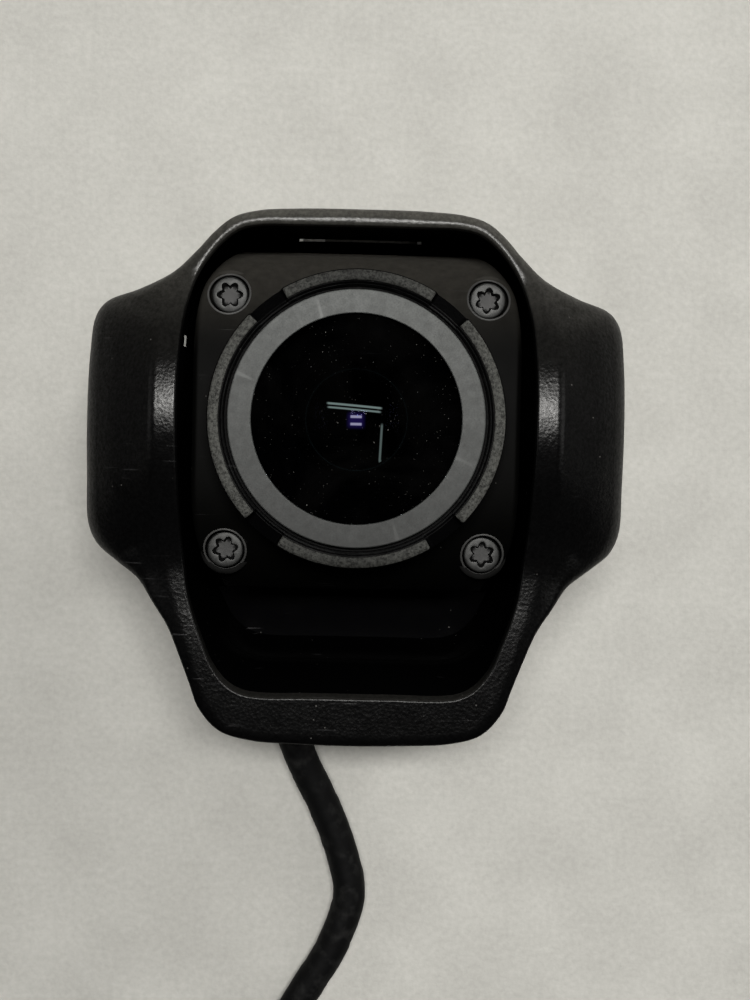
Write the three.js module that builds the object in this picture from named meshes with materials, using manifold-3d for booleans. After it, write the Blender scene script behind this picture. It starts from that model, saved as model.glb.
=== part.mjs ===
// Adjustable rear-view camera for trucks and trailers: a housing with an ear on each side,
// and between the ears a camera module that tilts, with its lens looking along -Y.
// Millimetres, +Z up. Seen from the front, +X is to the right, and "left" means -X.
// Solids are drawn about the middle of the tilt axis, which runs along X through the ears.
// add() then sets them back, so that the origin is the middle of the rear mounting face.
import * as THREE from "three";
import { mergeVertices } from "three/addons/utils/BufferGeometryUtils.js";
import Module from "manifold-3d";

const wasm = await Module();
wasm.setup();
const { lerp, clamp } = THREE.MathUtils;

// ---------------------------------------------------------------- driving dimensions
const GAP = 0.3;                  // assembly gap between separate pieces

const EAR_HALF_WIDTH = 40.6;      // outer end of each ear
const EAR_RADIUS = 30.0;          // front of each ear is an arc about the tilt axis
const MOUTH_HALF_WIDTH = 25.9;    // inner edge of the ears
const HOOD_TOP = 31.1;            // outer top of the hood
const HOOD_CEILING = 28.5;        // underside of the hood
const CHIN_BOTTOM = -48.6;        // outer underside of the chin
const CHIN_LIP = -41.3;           // inner edge of the chin rim
const FLOOR_RADIUS = 38.6;        // floor behind the chin clears the swinging collar
const SHELL_BACK = 20.5;          // rear edge of the housing shell
const PLATE_BACK = 23.6;          // rear face of the rear plate
const PAD_BACK = 24.6;            // rear face of the mounting pad
const REAR_SCREWS = [[31.0, 14.9], [-31.0, 14.9], [18.2, -42.0], [-18.2, -42.0]];  // x, z
const MOUNT_X = 15;               // mounting inserts, half pitch across

const MODULE_HALF_WIDTH = 24.4;   // camera module, half of its width along the axis
const MODULE_FRONT = 22.6;        // from the axis to the front face of the module
const MODULE_HALF_HEIGHT = 27.0;  // crown of the module's side profile
const OUTLINE_HALF_HEIGHT = 27.4; // half height of the module's front-view outline
const MODULE_POWER = 2.7;         // roundness of the module's front profile
const MODULE_SPLIT = -5.0;        // rear edge of the module's front shell
const MODULE_JOINT = MODULE_SPLIT + GAP;  // front edge of its rear shell
const HOLLOW_HALF_WIDTH = 21.9;   // hollow inside both module shells
const HOLLOW_INSET = 2.5;         // inset of the hollow from the front-view outline

const STACK_FRONT = -29.5;        // front of the trim ring and datum of the collar notches
const COLLAR_R = 21.6;            // outer radius of the collar
const COLLAR_BORE = 19.2;         // bore of the collar
const RING_OUTER = 18.6;          // trim ring outer radius
const RING_INNER = 15.2;          // trim ring inner radius

const SCREW_X = 19.5;             // face screw pattern, half pitch across
const SCREW_TOP = 18.6;           // upper face screws, above the lens axis
const SCREW_LOW = -19.9;          // lower face screws, below the lens axis
const SEAT_Y = -15.6;             // seat of the face screws
const HEAD_R = 2.75;              // face screw head radius
const CBORE_R = 3.05;             // counterbore radius
const BOSS_R = 3.9;               // screw bosses in both module shells
// place is x, z; turn is the angle of the drive recess in radians
const FACE_SCREWS = [
  { name: "upper_left", place: [-SCREW_X, SCREW_TOP], turn: 0.5 },
  { name: "upper_right", place: [SCREW_X, SCREW_TOP], turn: 0.12 },
  { name: "lower_left", place: [-SCREW_X, SCREW_LOW], turn: 0.32 },
  { name: "lower_right", place: [SCREW_X, SCREW_LOW], turn: 0.05 },
];

const PIVOT_BORE_R = 3.4;         // pivot bores of the ears and the friction washers
const GLAND_PLACE = [0, -8];      // cable gland in the module's rear wall, x, z
const CABLE_R = 2.9;              // cable radius over its wrap
const CABLE_X = -11.5;            // cable outlet position across
const CABLE_Y = 17.4;             // cable outlet position front to back
const SIDES = [-1, 1];            // left, right

// ---------------------------------------------------------------- materials
const BLACK = 0x17181a;
const MATTE = 0x1c1c1d;
const RUBBER = 0x101113;
const STEEL = 0x6f7072;
const BRASS = 0xb08d4a;
const GLASS = 0x07080c;

const FINISH = {
  housing: { color: BLACK, roughness: 0.42, metalness: 0 },
  plate: { color: MATTE, roughness: 0.55, metalness: 0 },
  module: { color: MATTE, roughness: 0.6, metalness: 0 },
  baffle: { color: BLACK, roughness: 0.9, metalness: 0 },
  barrel: { color: BLACK, roughness: 0.5, metalness: 0.4 },
  holder: { color: BLACK, roughness: 0.6, metalness: 0 },
  plug: { color: BLACK, roughness: 0.5, metalness: 0 },
  washer: { color: 0x2a2a2c, roughness: 0.6, metalness: 0 },
  pad: { color: RUBBER, roughness: 0.9, metalness: 0 },
  seal: { color: RUBBER, roughness: 0.85, metalness: 0 },
  gasket: { color: RUBBER, roughness: 0.8, metalness: 0 },
  cable: { color: RUBBER, roughness: 0.7, metalness: 0 },
  steel: { color: STEEL, roughness: 0.35, metalness: 1 },
  brass: { color: BRASS, roughness: 0.35, metalness: 1 },
  spacer: { color: BRASS, roughness: 0.4, metalness: 1 },
  silver: { color: 0xb9bcc0, roughness: 0.3, metalness: 1 },
  gold: { color: 0xc9a24a, roughness: 0.3, metalness: 1 },
  ring: { color: 0x6a6c6c, roughness: 0.5, metalness: 0.6 },
  window: { color: GLASS, roughness: 0.03, metalness: 0 },
  lens: { color: GLASS, roughness: 0.02, metalness: 0 },
  filter: { color: 0x2a5a66, roughness: 0.05, metalness: 0.2 },
  sensor: { color: 0x1a1a20, roughness: 0.3, metalness: 0.2 },
  board: { color: 0x14402a, roughness: 0.5, metalness: 0 },
  chip: { color: 0x202024, roughness: 0.4, metalness: 0 },
  link: { color: 0xd8d2c0, roughness: 0.6, metalness: 0 },
  header: { color: 0xe4dfd2, roughness: 0.6, metalness: 0 },
  wirePlug: { color: 0xefeadc, roughness: 0.6, metalness: 0 },
};

// ---------------------------------------------------------------- solid helpers
// welds a closed geometry, drops collapsed triangles and turns its faces outwards
function solid(geometry) {
  const bare = new THREE.BufferGeometry();
  bare.setAttribute("position", geometry.attributes.position);
  bare.setIndex(geometry.index);
  const welded = mergeVertices(bare, 1e-4);
  const position = welded.attributes.position;
  const source = welded.index.array;
  const corner = (i) => new THREE.Vector3().fromBufferAttribute(position, i);
  const triangles = [];
  let volume = 0;
  for (let i = 0; i < source.length; i += 3) {
    const [a, b, c] = source.slice(i, i + 3);
    if (a === b || b === c || a === c) continue;
    triangles.push(a, b, c);
    volume += corner(a).dot(corner(b).cross(corner(c)));
  }
  if (volume < 0) {
    for (let i = 0; i < triangles.length; i += 3) {
      [triangles[i], triangles[i + 1]] = [triangles[i + 1], triangles[i]];
    }
  }
  return new wasm.Manifold(new wasm.Mesh({
    numProp: 3,
    vertProperties: Float32Array.from(position.array),
    triVerts: Uint32Array.from(triangles),
  }));
}

function geometryOf(manifold) {
  const mesh = manifold.getMesh();
  const geometry = new THREE.BufferGeometry();
  const position = Float32Array.from(mesh.vertProperties);
  geometry.setAttribute("position", new THREE.BufferAttribute(position, 3));
  geometry.setIndex(new THREE.BufferAttribute(Uint32Array.from(mesh.triVerts), 1));
  geometry.computeVertexNormals();
  return geometry;
}

const union = (...parts) => parts.reduce((whole, part) => whole.add(part));
const cut = (body, ...tools) => tools.reduce((rest, tool) => rest.subtract(tool), body);

// mirrors points across x = 0, in reverse order so that they continue the outline
const mirrorX = (points) => points.map(([x, ...rest]) => [-x, ...rest]).reverse();

function block(x0, x1, y0, y1, z0, z1) {
  const box = new THREE.BoxGeometry(x1 - x0, y1 - y0, z1 - z0);
  box.translate((x0 + x1) / 2, (y0 + y1) / 2, (z0 + z1) / 2);
  return solid(box);
}

function rodY(radius, y0, y1, segments, [x, z] = [0, 0], backRadius = radius) {
  const rod = new THREE.CylinderGeometry(backRadius, radius, y1 - y0, segments);
  rod.translate(x, (y0 + y1) / 2, z);
  return solid(rod);
}

// rod along the tilt axis, on the side given as -1 or 1, between two distances from x = 0
function axisRod(side, radius, inner, outer, segments, y = 0) {
  const rod = new THREE.CylinderGeometry(radius, radius, outer - inner, segments);
  rod.rotateZ(Math.PI / 2);
  rod.translate(side * (inner + outer) / 2, y, 0);
  return solid(rod);
}

// profile of [radius, y] pairs turned about the Y axis
function lathe(profile, segments) {
  const points = profile.map(([radius, y]) => new THREE.Vector2(radius, y));
  return new THREE.LatheGeometry(points, segments);
}
const turnRing = (profile, segments) => solid(lathe([...profile, profile[0]], segments));

function extrude(outline, depth, placement) {
  const shape = new THREE.Shape(outline.map(([u, v]) => new THREE.Vector2(u, v)));
  const geometry = new THREE.ExtrudeGeometry(shape, { depth, bevelEnabled: false });
  return solid(geometry.applyMatrix4(placement));
}

// outline of [x, z] pairs pushed along Y
function pushY(outline, y0, y1) {
  const placement = new THREE.Matrix4().set(1, 0, 0, 0, 0, 0, -1, y1, 0, 1, 0, 0, 0, 0, 0, 1);
  return extrude(outline, y1 - y0, placement);
}

// outline of [y, z] pairs pushed along X
function pushX(outline, x0, x1) {
  const placement = new THREE.Matrix4().set(0, 0, 1, x0, 1, 0, 0, 0, 0, 1, 0, 0, 0, 0, 0, 1);
  return extrude(outline, x1 - x0, placement);
}

// closed loops of equal length joined one to the next, and the last back to the first
function ringLoft(rings) {
  const length = rings[0].length;
  const index = [];
  for (let i = 0; i < rings.length; i++) {
    const here = i * length;
    const next = ((i + 1) % rings.length) * length;
    for (let j = 0; j < length; j++) {
      const k = (j + 1) % length;
      index.push(here + j, here + k, next + k, here + j, next + k, next + j);
    }
  }
  const geometry = new THREE.BufferGeometry();
  geometry.setAttribute("position", new THREE.Float32BufferAttribute(rings.flat(2), 3));
  geometry.setIndex(index);
  return solid(geometry);
}

// slab centred on the lens axis, with rounded corners as seen from the front
function roundedSlab(halfWidth, halfHeight, y0, y1) {
  const radius = 1.5;
  const steps = 2;
  const x = halfWidth - radius;
  const z = halfHeight - radius;
  const corners = [[x, z, 0], [-x, z, 90], [-x, -z, 180], [x, -z, 270]];
  const outline = [];
  for (const [cornerX, cornerZ, start] of corners) {
    for (let i = 0; i <= steps; i++) {
      const angle = (start + 90 * i / steps) * Math.PI / 180;
      outline.push([cornerX + radius * Math.cos(angle), cornerZ + radius * Math.sin(angle)]);
    }
  }
  return pushY(outline, y0, y1);
}

// six-lobed drive recess
function driveRecess(radius, y0, y1, [x, z], turn) {
  const outline = [];
  for (let i = 0; i < 12; i++) {
    const angle = turn + i * Math.PI / 6;
    const reach = i % 2 ? radius * 0.74 : radius;
    outline.push([x + reach * Math.cos(angle), z + reach * Math.sin(angle)]);
  }
  return pushY(outline, y0, y1);
}

const group = new THREE.Group();
function add(name, manifold, finish) {
  const geometry = geometryOf(manifold.translate([0, -PAD_BACK, 0]));
  const mesh = new THREE.Mesh(geometry, new THREE.MeshStandardMaterial(finish));
  mesh.name = name;
  group.add(mesh);
}

// ---------------------------------------------------------------- housing shell
// Right half, from the middle of the hood round the ear to the middle of the chin.
// mouth x, z, y,   crease x, z, y,   outer x, z, y
const HOUSING_TABLE = [
  [0, HOOD_CEILING, -24.0, 0, HOOD_TOP - 1.45, -24.15, 0, HOOD_TOP, -22.5],
  [9, HOOD_CEILING - 0.05, -24.0, 9.2, HOOD_TOP - 1.6, -24.15, 9.4, HOOD_TOP - 0.1, -22.5],
  [14.6, HOOD_CEILING - 0.15, -24.0, 15.0, HOOD_TOP - 1.85, -24.15, 15.3, HOOD_TOP - 0.55, -22.5],
  [17.6, 27.7, -24.0, 18.1, 28.5, -24.1, 18.8, 29.5, -22.5],
  [20.0, 26.0, -23.95, 20.7, 26.6, -24.0, 21.5, 27.4, -22.2],
  [22.1, 23.6, -23.95, 23.0, 24.0, -23.95, 24.0, 24.7, -21.8],
  [23.9, 20.6, -24.2, 25.7, 20.6, -24.1, 27.6, 21.4, -21.2],
  [25.0, 17.0, -25.4, 27.9, 16.9, -25.2, 32.6, 19.0, -20.2],
  [25.6, 13.0, -27.0, 29.1, 12.9, -27.1, 38.1, 17.2, -18.0],
  [25.8, 9.2, -28.55, 29.4, 9.2, -28.5, 39.85, 15.0, -17.4],
  [MOUTH_HALF_WIDTH, 4.8, -29.6, 29.5, 4.8, -29.55, EAR_HALF_WIDTH - 0.15, 9.4, -18.4],
  [MOUTH_HALF_WIDTH, 0, -EAR_RADIUS, 29.5, 0, -EAR_RADIUS, EAR_HALF_WIDTH, 0, -19.4],
  [MOUTH_HALF_WIDTH, -4.8, -29.6, 29.5, -4.8, -29.55, EAR_HALF_WIDTH + 0.05, -9.4, -18.4],
  [25.8, -9.4, -28.5, 29.4, -9.4, -28.4, EAR_HALF_WIDTH - 0.05, -16.3, -17.4],
  [25.7, -13.6, -26.8, 29.2, -13.4, -26.8, 39.2, -19.3, -17.8],
  [25.5, -17.6, -25.1, 28.8, -17.6, -25.1, 35.8, -21.9, -19.6],
  [25.1, -21.6, -24.0, 28.0, -21.8, -24.0, 32.2, -24.4, -21.2],
  [24.5, -25.8, -23.8, 26.8, -26.6, -23.8, 29.9, -27.6, -22.3],
  [23.5, -29.6, -23.8, 25.5, -31.0, -23.8, 27.5, -31.2, -22.7],
  [22.2, -33.2, -23.8, 24.2, -35.2, -23.8, 25.7, -35.4, -22.9],
  [20.7, -36.8, -23.8, 22.9, -39.2, -23.8, 24.0, -39.8, -22.9],
  [18.7, -39.4, -23.8, 21.4, -42.7, -23.8, 22.7, -43.2, -22.9],
  [16.2, -40.9, -23.8, 18.6, -46.0, -23.8, 19.6, -46.6, -22.9],
  [13.0, CHIN_LIP - 0.05, -23.8, 14.6, CHIN_BOTTOM + 1.6, -23.8, 15.0, CHIN_BOTTOM + 0.6, -22.9],
  [6.8, CHIN_LIP, -23.8, 7.2, CHIN_BOTTOM + 1.15, -23.8, 7.4, CHIN_BOTTOM + 0.15, -22.9],
  [0, CHIN_LIP, -23.8, 0, CHIN_BOTTOM + 1.0, -23.8, 0, CHIN_BOTTOM, -22.9],
];
const STATIONS = HOUSING_TABLE.map((row) => {
  const point = (i) => ({ x: row[i], z: row[i + 1], y: row[i + 2] });
  return { mouth: point(0), crease: point(3), outer: point(6) };
});

// full loop round the housing, with one point worked out for each station
function housingLoop(pointAt) {
  const right = STATIONS.map(pointAt);
  return [...right, ...mirrorX(right.slice(1, -1))];
}

// stretches the lower part of the mouth so that its bottom meets the floor at this y
function floorHeight(z, y) {
  const start = -21.6;  // the stretch begins below this height
  const lipY = -23.8;
  const arcY = -8;      // behind this the floor is an arc about the tilt axis
  const arcEnd = 14;    // and from here back it is level
  if (z >= start) return z;
  const floor = y > arcY
    ? -Math.sqrt(FLOOR_RADIUS ** 2 - Math.min(y, arcEnd) ** 2)
    : lerp(CHIN_LIP, -37.8, (y - lipY) / (arcY - lipY));
  return start + (z - start) * ((floor - start) / (CHIN_LIP - start));
}

const justInside = ({ mouth }) => {
  const y = mouth.y + 3.0;
  return [mouth.x, y, floorHeight(mouth.z, y)];
};

// the inside of the mouth, widened a little behind the lip so the module can swing
const deepInside = (y) => ({ mouth }) => {
  let { x, z } = mouth;
  if (z > -29 && z < 18) x = Math.max(x, 25.6);
  if (z >= 18 && x > 20.5) {
    x += 0.9;
    z += 0.35;
  } else if (z >= 18 && x > 16) {
    x += 0.55;
    z += 0.6;
  }
  return [x, y, floorHeight(z, y)];
};

// Point between crease and outer edge. outward and back are shares of the way,
// each given as [on the narrow rim, on the ear].
const shoulder = ({ outward, back }) => ({ crease, outer }) => {
  const ear = clamp((outer.x - crease.x - 2.5) / 5, 0, 1);
  const outwardShare = lerp(...outward, ear);
  return [
    lerp(crease.x, outer.x, outwardShare),
    lerp(crease.y, outer.y, lerp(...back, ear)),
    lerp(crease.z, outer.z, outwardShare),
  ];
};

const toPoint = ({ x, y, z }) => [x, y, z];

function housingShell() {
  const pastBack = SHELL_BACK + 2;
  // from the rear edge forwards along the inside, over the lip and back along the outside
  const shell = ringLoft([
    deepInside(SHELL_BACK),
    deepInside(8),
    deepInside(-4),
    deepInside(-14),
    justInside,
    ({ mouth }) => toPoint(mouth),
    ({ crease }) => toPoint(crease),
    shoulder({ outward: [0.70, 0.60], back: [0.30, 0.50] }),
    shoulder({ outward: [0.92, 0.90], back: [0.62, 0.78] }),
    ({ outer }) => toPoint(outer),
    ({ outer }) => [outer.x * 0.995, 2, outer.z * 0.997],
    ({ outer }) => [outer.x * 0.98, SHELL_BACK, outer.z * 0.988],
  ].map(housingLoop));

  // x, z of the right-hand hollow
  const earHollow = [
    [28.2, 12.5], [28.2, -14.0], [36.6, -14.0], [37.6, -10], [37.6, 9], [36.0, 12.5],
  ];
  // y, z
  const chinHollow = [
    [-15, -45.4], [pastBack, -46.0], [pastBack, -40.0], [12, -40.6], [-6, -42.0],
  ];
  const outletHalfWidth = 4.3;
  const hollowed = cut(shell,
    // pivot bores through the inner ear walls, and the hollows behind the ears
    ...SIDES.map((side) => axisRod(side, PIVOT_BORE_R, 25.0, 34.0, 20)),
    ...SIDES.map((side) => pushY(earHollow.map(([x, z]) => [side * x, z]), -12.5, pastBack)),
    // thin vent slot through the hood
    block(-9.6, 9.6, -9.4, -7.0, HOOD_CEILING - 3, HOOD_TOP + 3),
    // cable outlet through the underside, open towards the rear
    block(CABLE_X - outletHalfWidth, CABLE_X + outletHalfWidth, 14.0, pastBack,
      CHIN_BOTTOM - 2, -33.0),
    pushX(chinHollow, -4.5, 13.5));

  // rib across the back of the floor, in front of the cable; x, z of its right edge
  const ribEdge = [[24.6, -28.4], [23.4, -33.0], [22.3, -36.0], [21.2, -38.5]];
  const ribbed = union(hollowed, pushY([...ribEdge, ...mirrorX(ribEdge)], 12.4, 13.7));
  return cut(ribbed, ...REAR_SCREWS.map((place) => rodY(1.25, 11.0, SHELL_BACK + 1, 12, place)));
}
add("housing_shell", housingShell(), FINISH.housing);

// ---------------------------------------------------------------- rear plate, screws, pad
const PLATE_OUTLINE = housingLoop(({ outer }) => [outer.x * 0.965, outer.z * 0.972]);
const MOUNT_PLACES = SIDES.map((side) => [side * MOUNT_X, 0]);

function rearPlate() {
  const past = PLATE_BACK + 1;
  return cut(pushY(PLATE_OUTLINE, SHELL_BACK + GAP, PLATE_BACK),
    ...REAR_SCREWS.flatMap((place) => [
      rodY(1.7, SHELL_BACK - 1, past, 12, place),
      rodY(3.2, PLATE_BACK - 1.5, past, 16, place),
    ]),
    // blind pockets for the mounting inserts
    ...MOUNT_PLACES.map((place) => rodY(3.3, PLATE_BACK - 2.2, past, 20, place)));
}
add("rear_plate", rearPlate(), FINISH.plate);

function mountInsert(place) {
  return cut(rodY(3.0, PLATE_BACK - 1.9, PLATE_BACK, 20, place),
    rodY(1.65, PLATE_BACK - 3, PLATE_BACK + 1, 14, place));
}
MOUNT_PLACES.forEach((place, i) => {
  add(`mount_insert_${i + 1}`, mountInsert(place), FINISH.brass);
});

function rearScrew(place, turn) {
  const shank = rodY(1.15, 12.0, PLATE_BACK - 1.0, 12, place);
  const head = rodY(2.7, PLATE_BACK - 1.2, PLATE_BACK - 0.1, 16, place);
  const recess = driveRecess(1.3, PLATE_BACK - 0.8, PLATE_BACK + 1, place, turn);
  return cut(union(shank, head), recess);
}
REAR_SCREWS.forEach((place, i) => {
  add(`rear_screw_${i + 1}`, rearScrew(place, 0.3 * i), FINISH.steel);
});

// foam pad between the rear plate and the panel it sits on
function mountingPad() {
  const outline = PLATE_OUTLINE.map(([x, z]) => [x * 0.95, z * 0.955]);
  const hole = (radius, segments) => (place) =>
    rodY(radius, PLATE_BACK - 1, PAD_BACK + 1, segments, place);
  return cut(pushY(outline, PLATE_BACK + 0.05, PAD_BACK),
    ...MOUNT_PLACES.map(hole(4.2, 20)),
    ...REAR_SCREWS.map(hole(3.6, 16)));
}
add("mounting_pad", mountingPad(), FINISH.pad);

// ---------------------------------------------------------------- camera module shells
// side profile of [y, z] pairs: a superellipse in front, closed flat at yEnd
function frontProfile(scale, yEnd) {
  const steps = 16;
  const soften = (value) => Math.sign(value) * Math.pow(Math.abs(value), 2 / MODULE_POWER);
  const points = [];
  for (let i = 0; i <= steps; i++) {
    const angle = Math.PI / 2 - Math.PI * i / steps;
    points.push([
      -MODULE_FRONT * Math.abs(soften(Math.cos(angle))) * scale,
      MODULE_HALF_HEIGHT * soften(Math.sin(angle)) * scale,
    ]);
  }
  const halfHeight = MODULE_HALF_HEIGHT * scale;
  return [...points, [yEnd, -halfHeight], [yEnd, halfHeight]];
}

// x, z of the upper right corner of the module as seen from the front
const MODULE_CORNER = [
  [14.5, OUTLINE_HALF_HEIGHT], [17.6, 26.7], [20.0, 25.0], [22.0, 22.6],
  [23.4, 19.8], [24.1, 16.4], [MODULE_HALF_WIDTH, 12.0],
];

// prism of the module's front-view outline, drawn in by inset
function modulePrism(inset, y0, y1) {
  const upper = MODULE_CORNER.map(([x, z]) => [
    x * (1 - inset / MODULE_HALF_WIDTH),
    z * (1 - inset / OUTLINE_HALF_HEIGHT),
  ]);
  const right = [...upper, ...upper.map(([x, z]) => [x, -z]).reverse()];
  return pushY([...right, ...mirrorX(right)], y0, y1);
}

// collar round the lens, with an inner ledge; radius, y
const COLLAR_PROFILE = [
  [COLLAR_BORE, -27.4], [COLLAR_BORE + 0.15, -28.4], [19.9, -28.9], [20.1, -29.45],
  [21.35, -29.45], [COLLAR_R, -29.2], [COLLAR_R, -16.0], [18.8, -16.0], [18.8, -25.0],
  [15.6, -25.0], [15.6, -27.0], [18.75, -27.0], [18.75, -27.4],
];

// notch across the collar ridge, used by the ring tool
function collarNotch(degrees) {
  const notch = new THREE.BoxGeometry(5.2, 1.8, 6);
  notch.translate(0, STACK_FRONT + 0.3, 21.2);
  notch.rotateY(degrees * Math.PI / 180);
  return solid(notch);
}

function moduleFront() {
  const bulk = pushX(frontProfile(1, 2), -MODULE_HALF_WIDTH, MODULE_HALF_WIDTH)
    .intersect(modulePrism(0, -30, MODULE_SPLIT));
  const hollow = pushX(frontProfile(0.905, 6), -HOLLOW_HALF_WIDTH, HOLLOW_HALF_WIDTH)
    .intersect(modulePrism(HOLLOW_INSET, -30, 20));
  const shell = cut(bulk, hollow, rodY(COLLAR_BORE - 0.2, -30, -10, 56));
  const bosses = FACE_SCREWS.map(({ place }) =>
    rodY(BOSS_R, -22.0, MODULE_SPLIT, 16, place).intersect(bulk));
  return cut(union(shell, turnRing(COLLAR_PROFILE, 56), ...bosses),
    ...FACE_SCREWS.flatMap(({ place }) => [
      rodY(CBORE_R, -32, SEAT_Y, 20, place),
      rodY(1.8, -30, 0, 12, place),
    ]),
    ...[39, 141, 219, 321].map(collarNotch));
}
add("module_front", moduleFront(), FINISH.module);

// side profiles of the rear shell and its hollow; y, z
const REAR_PROFILE = [
  [MODULE_JOINT, 26.55], [0, MODULE_HALF_HEIGHT], [4.6, 26.6], [11, 16],
  [11, -16], [0.5, -MODULE_HALF_HEIGHT], [0, -MODULE_HALF_HEIGHT], [MODULE_JOINT, -26.55],
];
const REAR_HOLLOW = [[-10, 24.4], [2.2, 24.4], [9.2, 14.6], [9.2, -14.6], [-0.6, -24.4], [-10, -24.4]];

function moduleRear() {
  const bulk = pushX(REAR_PROFILE, -MODULE_HALF_WIDTH, MODULE_HALF_WIDTH)
    .intersect(modulePrism(0, -10, 20));
  const hollow = pushX(REAR_HOLLOW, -HOLLOW_HALF_WIDTH, HOLLOW_HALF_WIDTH)
    .intersect(modulePrism(HOLLOW_INSET, -12, 20));
  const screwBosses = FACE_SCREWS.map(({ place }) =>
    rodY(BOSS_R, MODULE_JOINT, 1.8, 16, place).intersect(modulePrism(0.1, -10, 20)));
  const pivotBosses = SIDES.map((side) => axisRod(side, 5.2, 17.4, 22.4, 24, 0.9));
  const sealGroove = cut(modulePrism(0.55, -10, MODULE_SPLIT + 1.3), modulePrism(2.0, -12, 10));
  return cut(union(cut(bulk, hollow), ...screwBosses, ...pivotBosses),
    ...FACE_SCREWS.map(({ place }) => rodY(1.3, -8, 1.2, 12, place)),
    ...SIDES.map((side) => axisRod(side, 3.5, 17, 26, 20)),
    rodY(3.4, 8, 14, 20, GLAND_PLACE),
    sealGroove);
}
add("module_rear", moduleRear(), FINISH.module);

// ring seal in the groove of the rear shell's joint face
const moduleSeal = cut(modulePrism(0.85, MODULE_SPLIT + 0.05, MODULE_SPLIT + 1.05),
  modulePrism(1.7, -10, 10));
add("module_seal", moduleSeal, FINISH.seal);

function faceScrew({ place, turn }) {
  const head = rodY(HEAD_R, SEAT_Y - 2.3, SEAT_Y - 0.1, 24, place);
  const shank = rodY(1.1, SEAT_Y - 0.3, 0.6, 12, place);
  return cut(union(head, shank), driveRecess(1.92, SEAT_Y - 5, SEAT_Y - 1.1, place, turn));
}
for (const screw of FACE_SCREWS) add(`face_screw_${screw.name}`, faceScrew(screw), FINISH.steel);

// ---------------------------------------------------------------- lens stack
// closed profiles of radius, y
const TRIM_RING = [
  [RING_INNER, STACK_FRONT], [RING_OUTER, STACK_FRONT], [RING_OUTER, -27.5],
  [17.5, -27.5], [17.5, -28.6], [RING_INNER, -28.6],
];
const GASKET = [[15.8, -27.3], [17.3, -27.3], [17.3, -27.05], [15.8, -27.05]];
const BAFFLE = [
  [9.6, -24.2], [18.5, -24.7], [18.5, -23.9], [10.2, -23.4],
  [8.95, -19.8], [8.45, -19.8], [9.6, -23.6],
];
const BARREL = [
  [7.3, -24.8], [7.9, -24.8], [8.2, -24.4], [8.2, -16.0], [6.0, -15.6], [6.0, -7.6],
  [4.0, -7.6], [4.0, -14.0], [5.7, -18.0], [5.7, -21.8], [7.3, -21.8],
];
add("trim_ring", turnRing(TRIM_RING, 48), FINISH.ring);
add("front_glass", rodY(17.1, -28.5, -27.35, 48), FINISH.window);
add("glass_gasket", turnRing(GASKET, 32), FINISH.gasket);
add("light_baffle", turnRing(BAFFLE, 32), FINISH.baffle);
add("lens_barrel", turnRing(BARREL, 28), FINISH.barrel);

// lens with a spherical front of the given sag and a flat back
function lensElement({ radius, front, sag, back, segments }) {
  const sphere = (radius * radius + sag * sag) / (2 * sag);
  const profile = [[0, front]];
  for (let i = 1; i <= 4; i++) {
    const reach = radius * i / 4;
    profile.push([reach, front + sphere - Math.sqrt(sphere * sphere - reach * reach)]);
  }
  profile.push([radius, back], [0, back]);
  return solid(lathe(profile, segments));
}
const LENS_ELEMENTS = {
  front: { radius: 7.1, front: -26.6, sag: 2.2, back: -22.1, segments: 24 },
  middle: { radius: 3.7, front: -17.4, sag: 0.9, back: -15.2, segments: 18 },
  rear: { radius: 3.6, front: -12.2, sag: 0.8, back: -9.8, segments: 18 },
};
for (const [name, sizes] of Object.entries(LENS_ELEMENTS)) {
  add(`lens_element_${name}`, lensElement(sizes), FINISH.lens);
}

const lensHolder = cut(roundedSlab(9, 9, -11.6, -3.0),
  rodY(6.3, -13, -6.6, 32),
  block(-4.7, 4.7, -8, 0, -4.7, 4.7));
add("lens_holder", lensHolder, FINISH.holder);
add("ir_cut_filter", block(-3.6, 3.6, -6.3, -5.7, -3.6, 3.6), FINISH.filter);
add("image_sensor", block(-3.9, 3.9, -4.4, -2.8, -3.3, 3.3), FINISH.sensor);

// ---------------------------------------------------------------- circuit boards
const BOARD_PITCH = 11.6;  // board holes, half pitch both ways
const BOARD_HOLE_R = 1.3;
const BOARD_HOLES = [1, -1].flatMap((up) => SIDES.map((side) => [
  side * BOARD_PITCH, up * BOARD_PITCH,
]));

function board(halfHeight, y0, y1) {
  return cut(roundedSlab(14, halfHeight, y0, y1),
    ...BOARD_HOLES.map((place) => rodY(BOARD_HOLE_R, y0 - 1, y1 + 1, 12, place)));
}
add("sensor_board", board(14, -2.7, -1.2), FINISH.board);
add("main_board", board(13.6, 3.0, 4.5), FINISH.board);

BOARD_HOLES.forEach((place, i) => {
  const spacer = cut(rodY(2.1, -1.1, 2.9, 6, place), rodY(BOARD_HOLE_R, -2, 4, 12, place));
  add(`board_spacer_${i + 1}`, spacer, FINISH.spacer);
});
BOARD_HOLES.forEach((place, i) => {
  const screw = union(rodY(1.9, 4.6, 5.7, 14, place), rodY(1.0, -2.6, 4.8, 10, place));
  add(`board_screw_${i + 1}`, screw, FINISH.silver);
});

add("video_processor", block(-4.5, 4.5, -1.0, 0.3, -4.5, 4.5), FINISH.chip);
add("board_link", block(-8, 8, -1.1, 2.9, 8.0, 10.4), FINISH.link);
const wireHeader = cut(block(-5, 5, 4.6, 7.4, -10.6, -5.6), block(-4, 4, 5.6, 9, -9.8, -6.4));
add("wire_header", wireHeader, FINISH.header);
add("wire_plug", block(-3.7, 3.7, 5.9, 8.6, -9.5, -6.7), FINISH.wirePlug);

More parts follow.
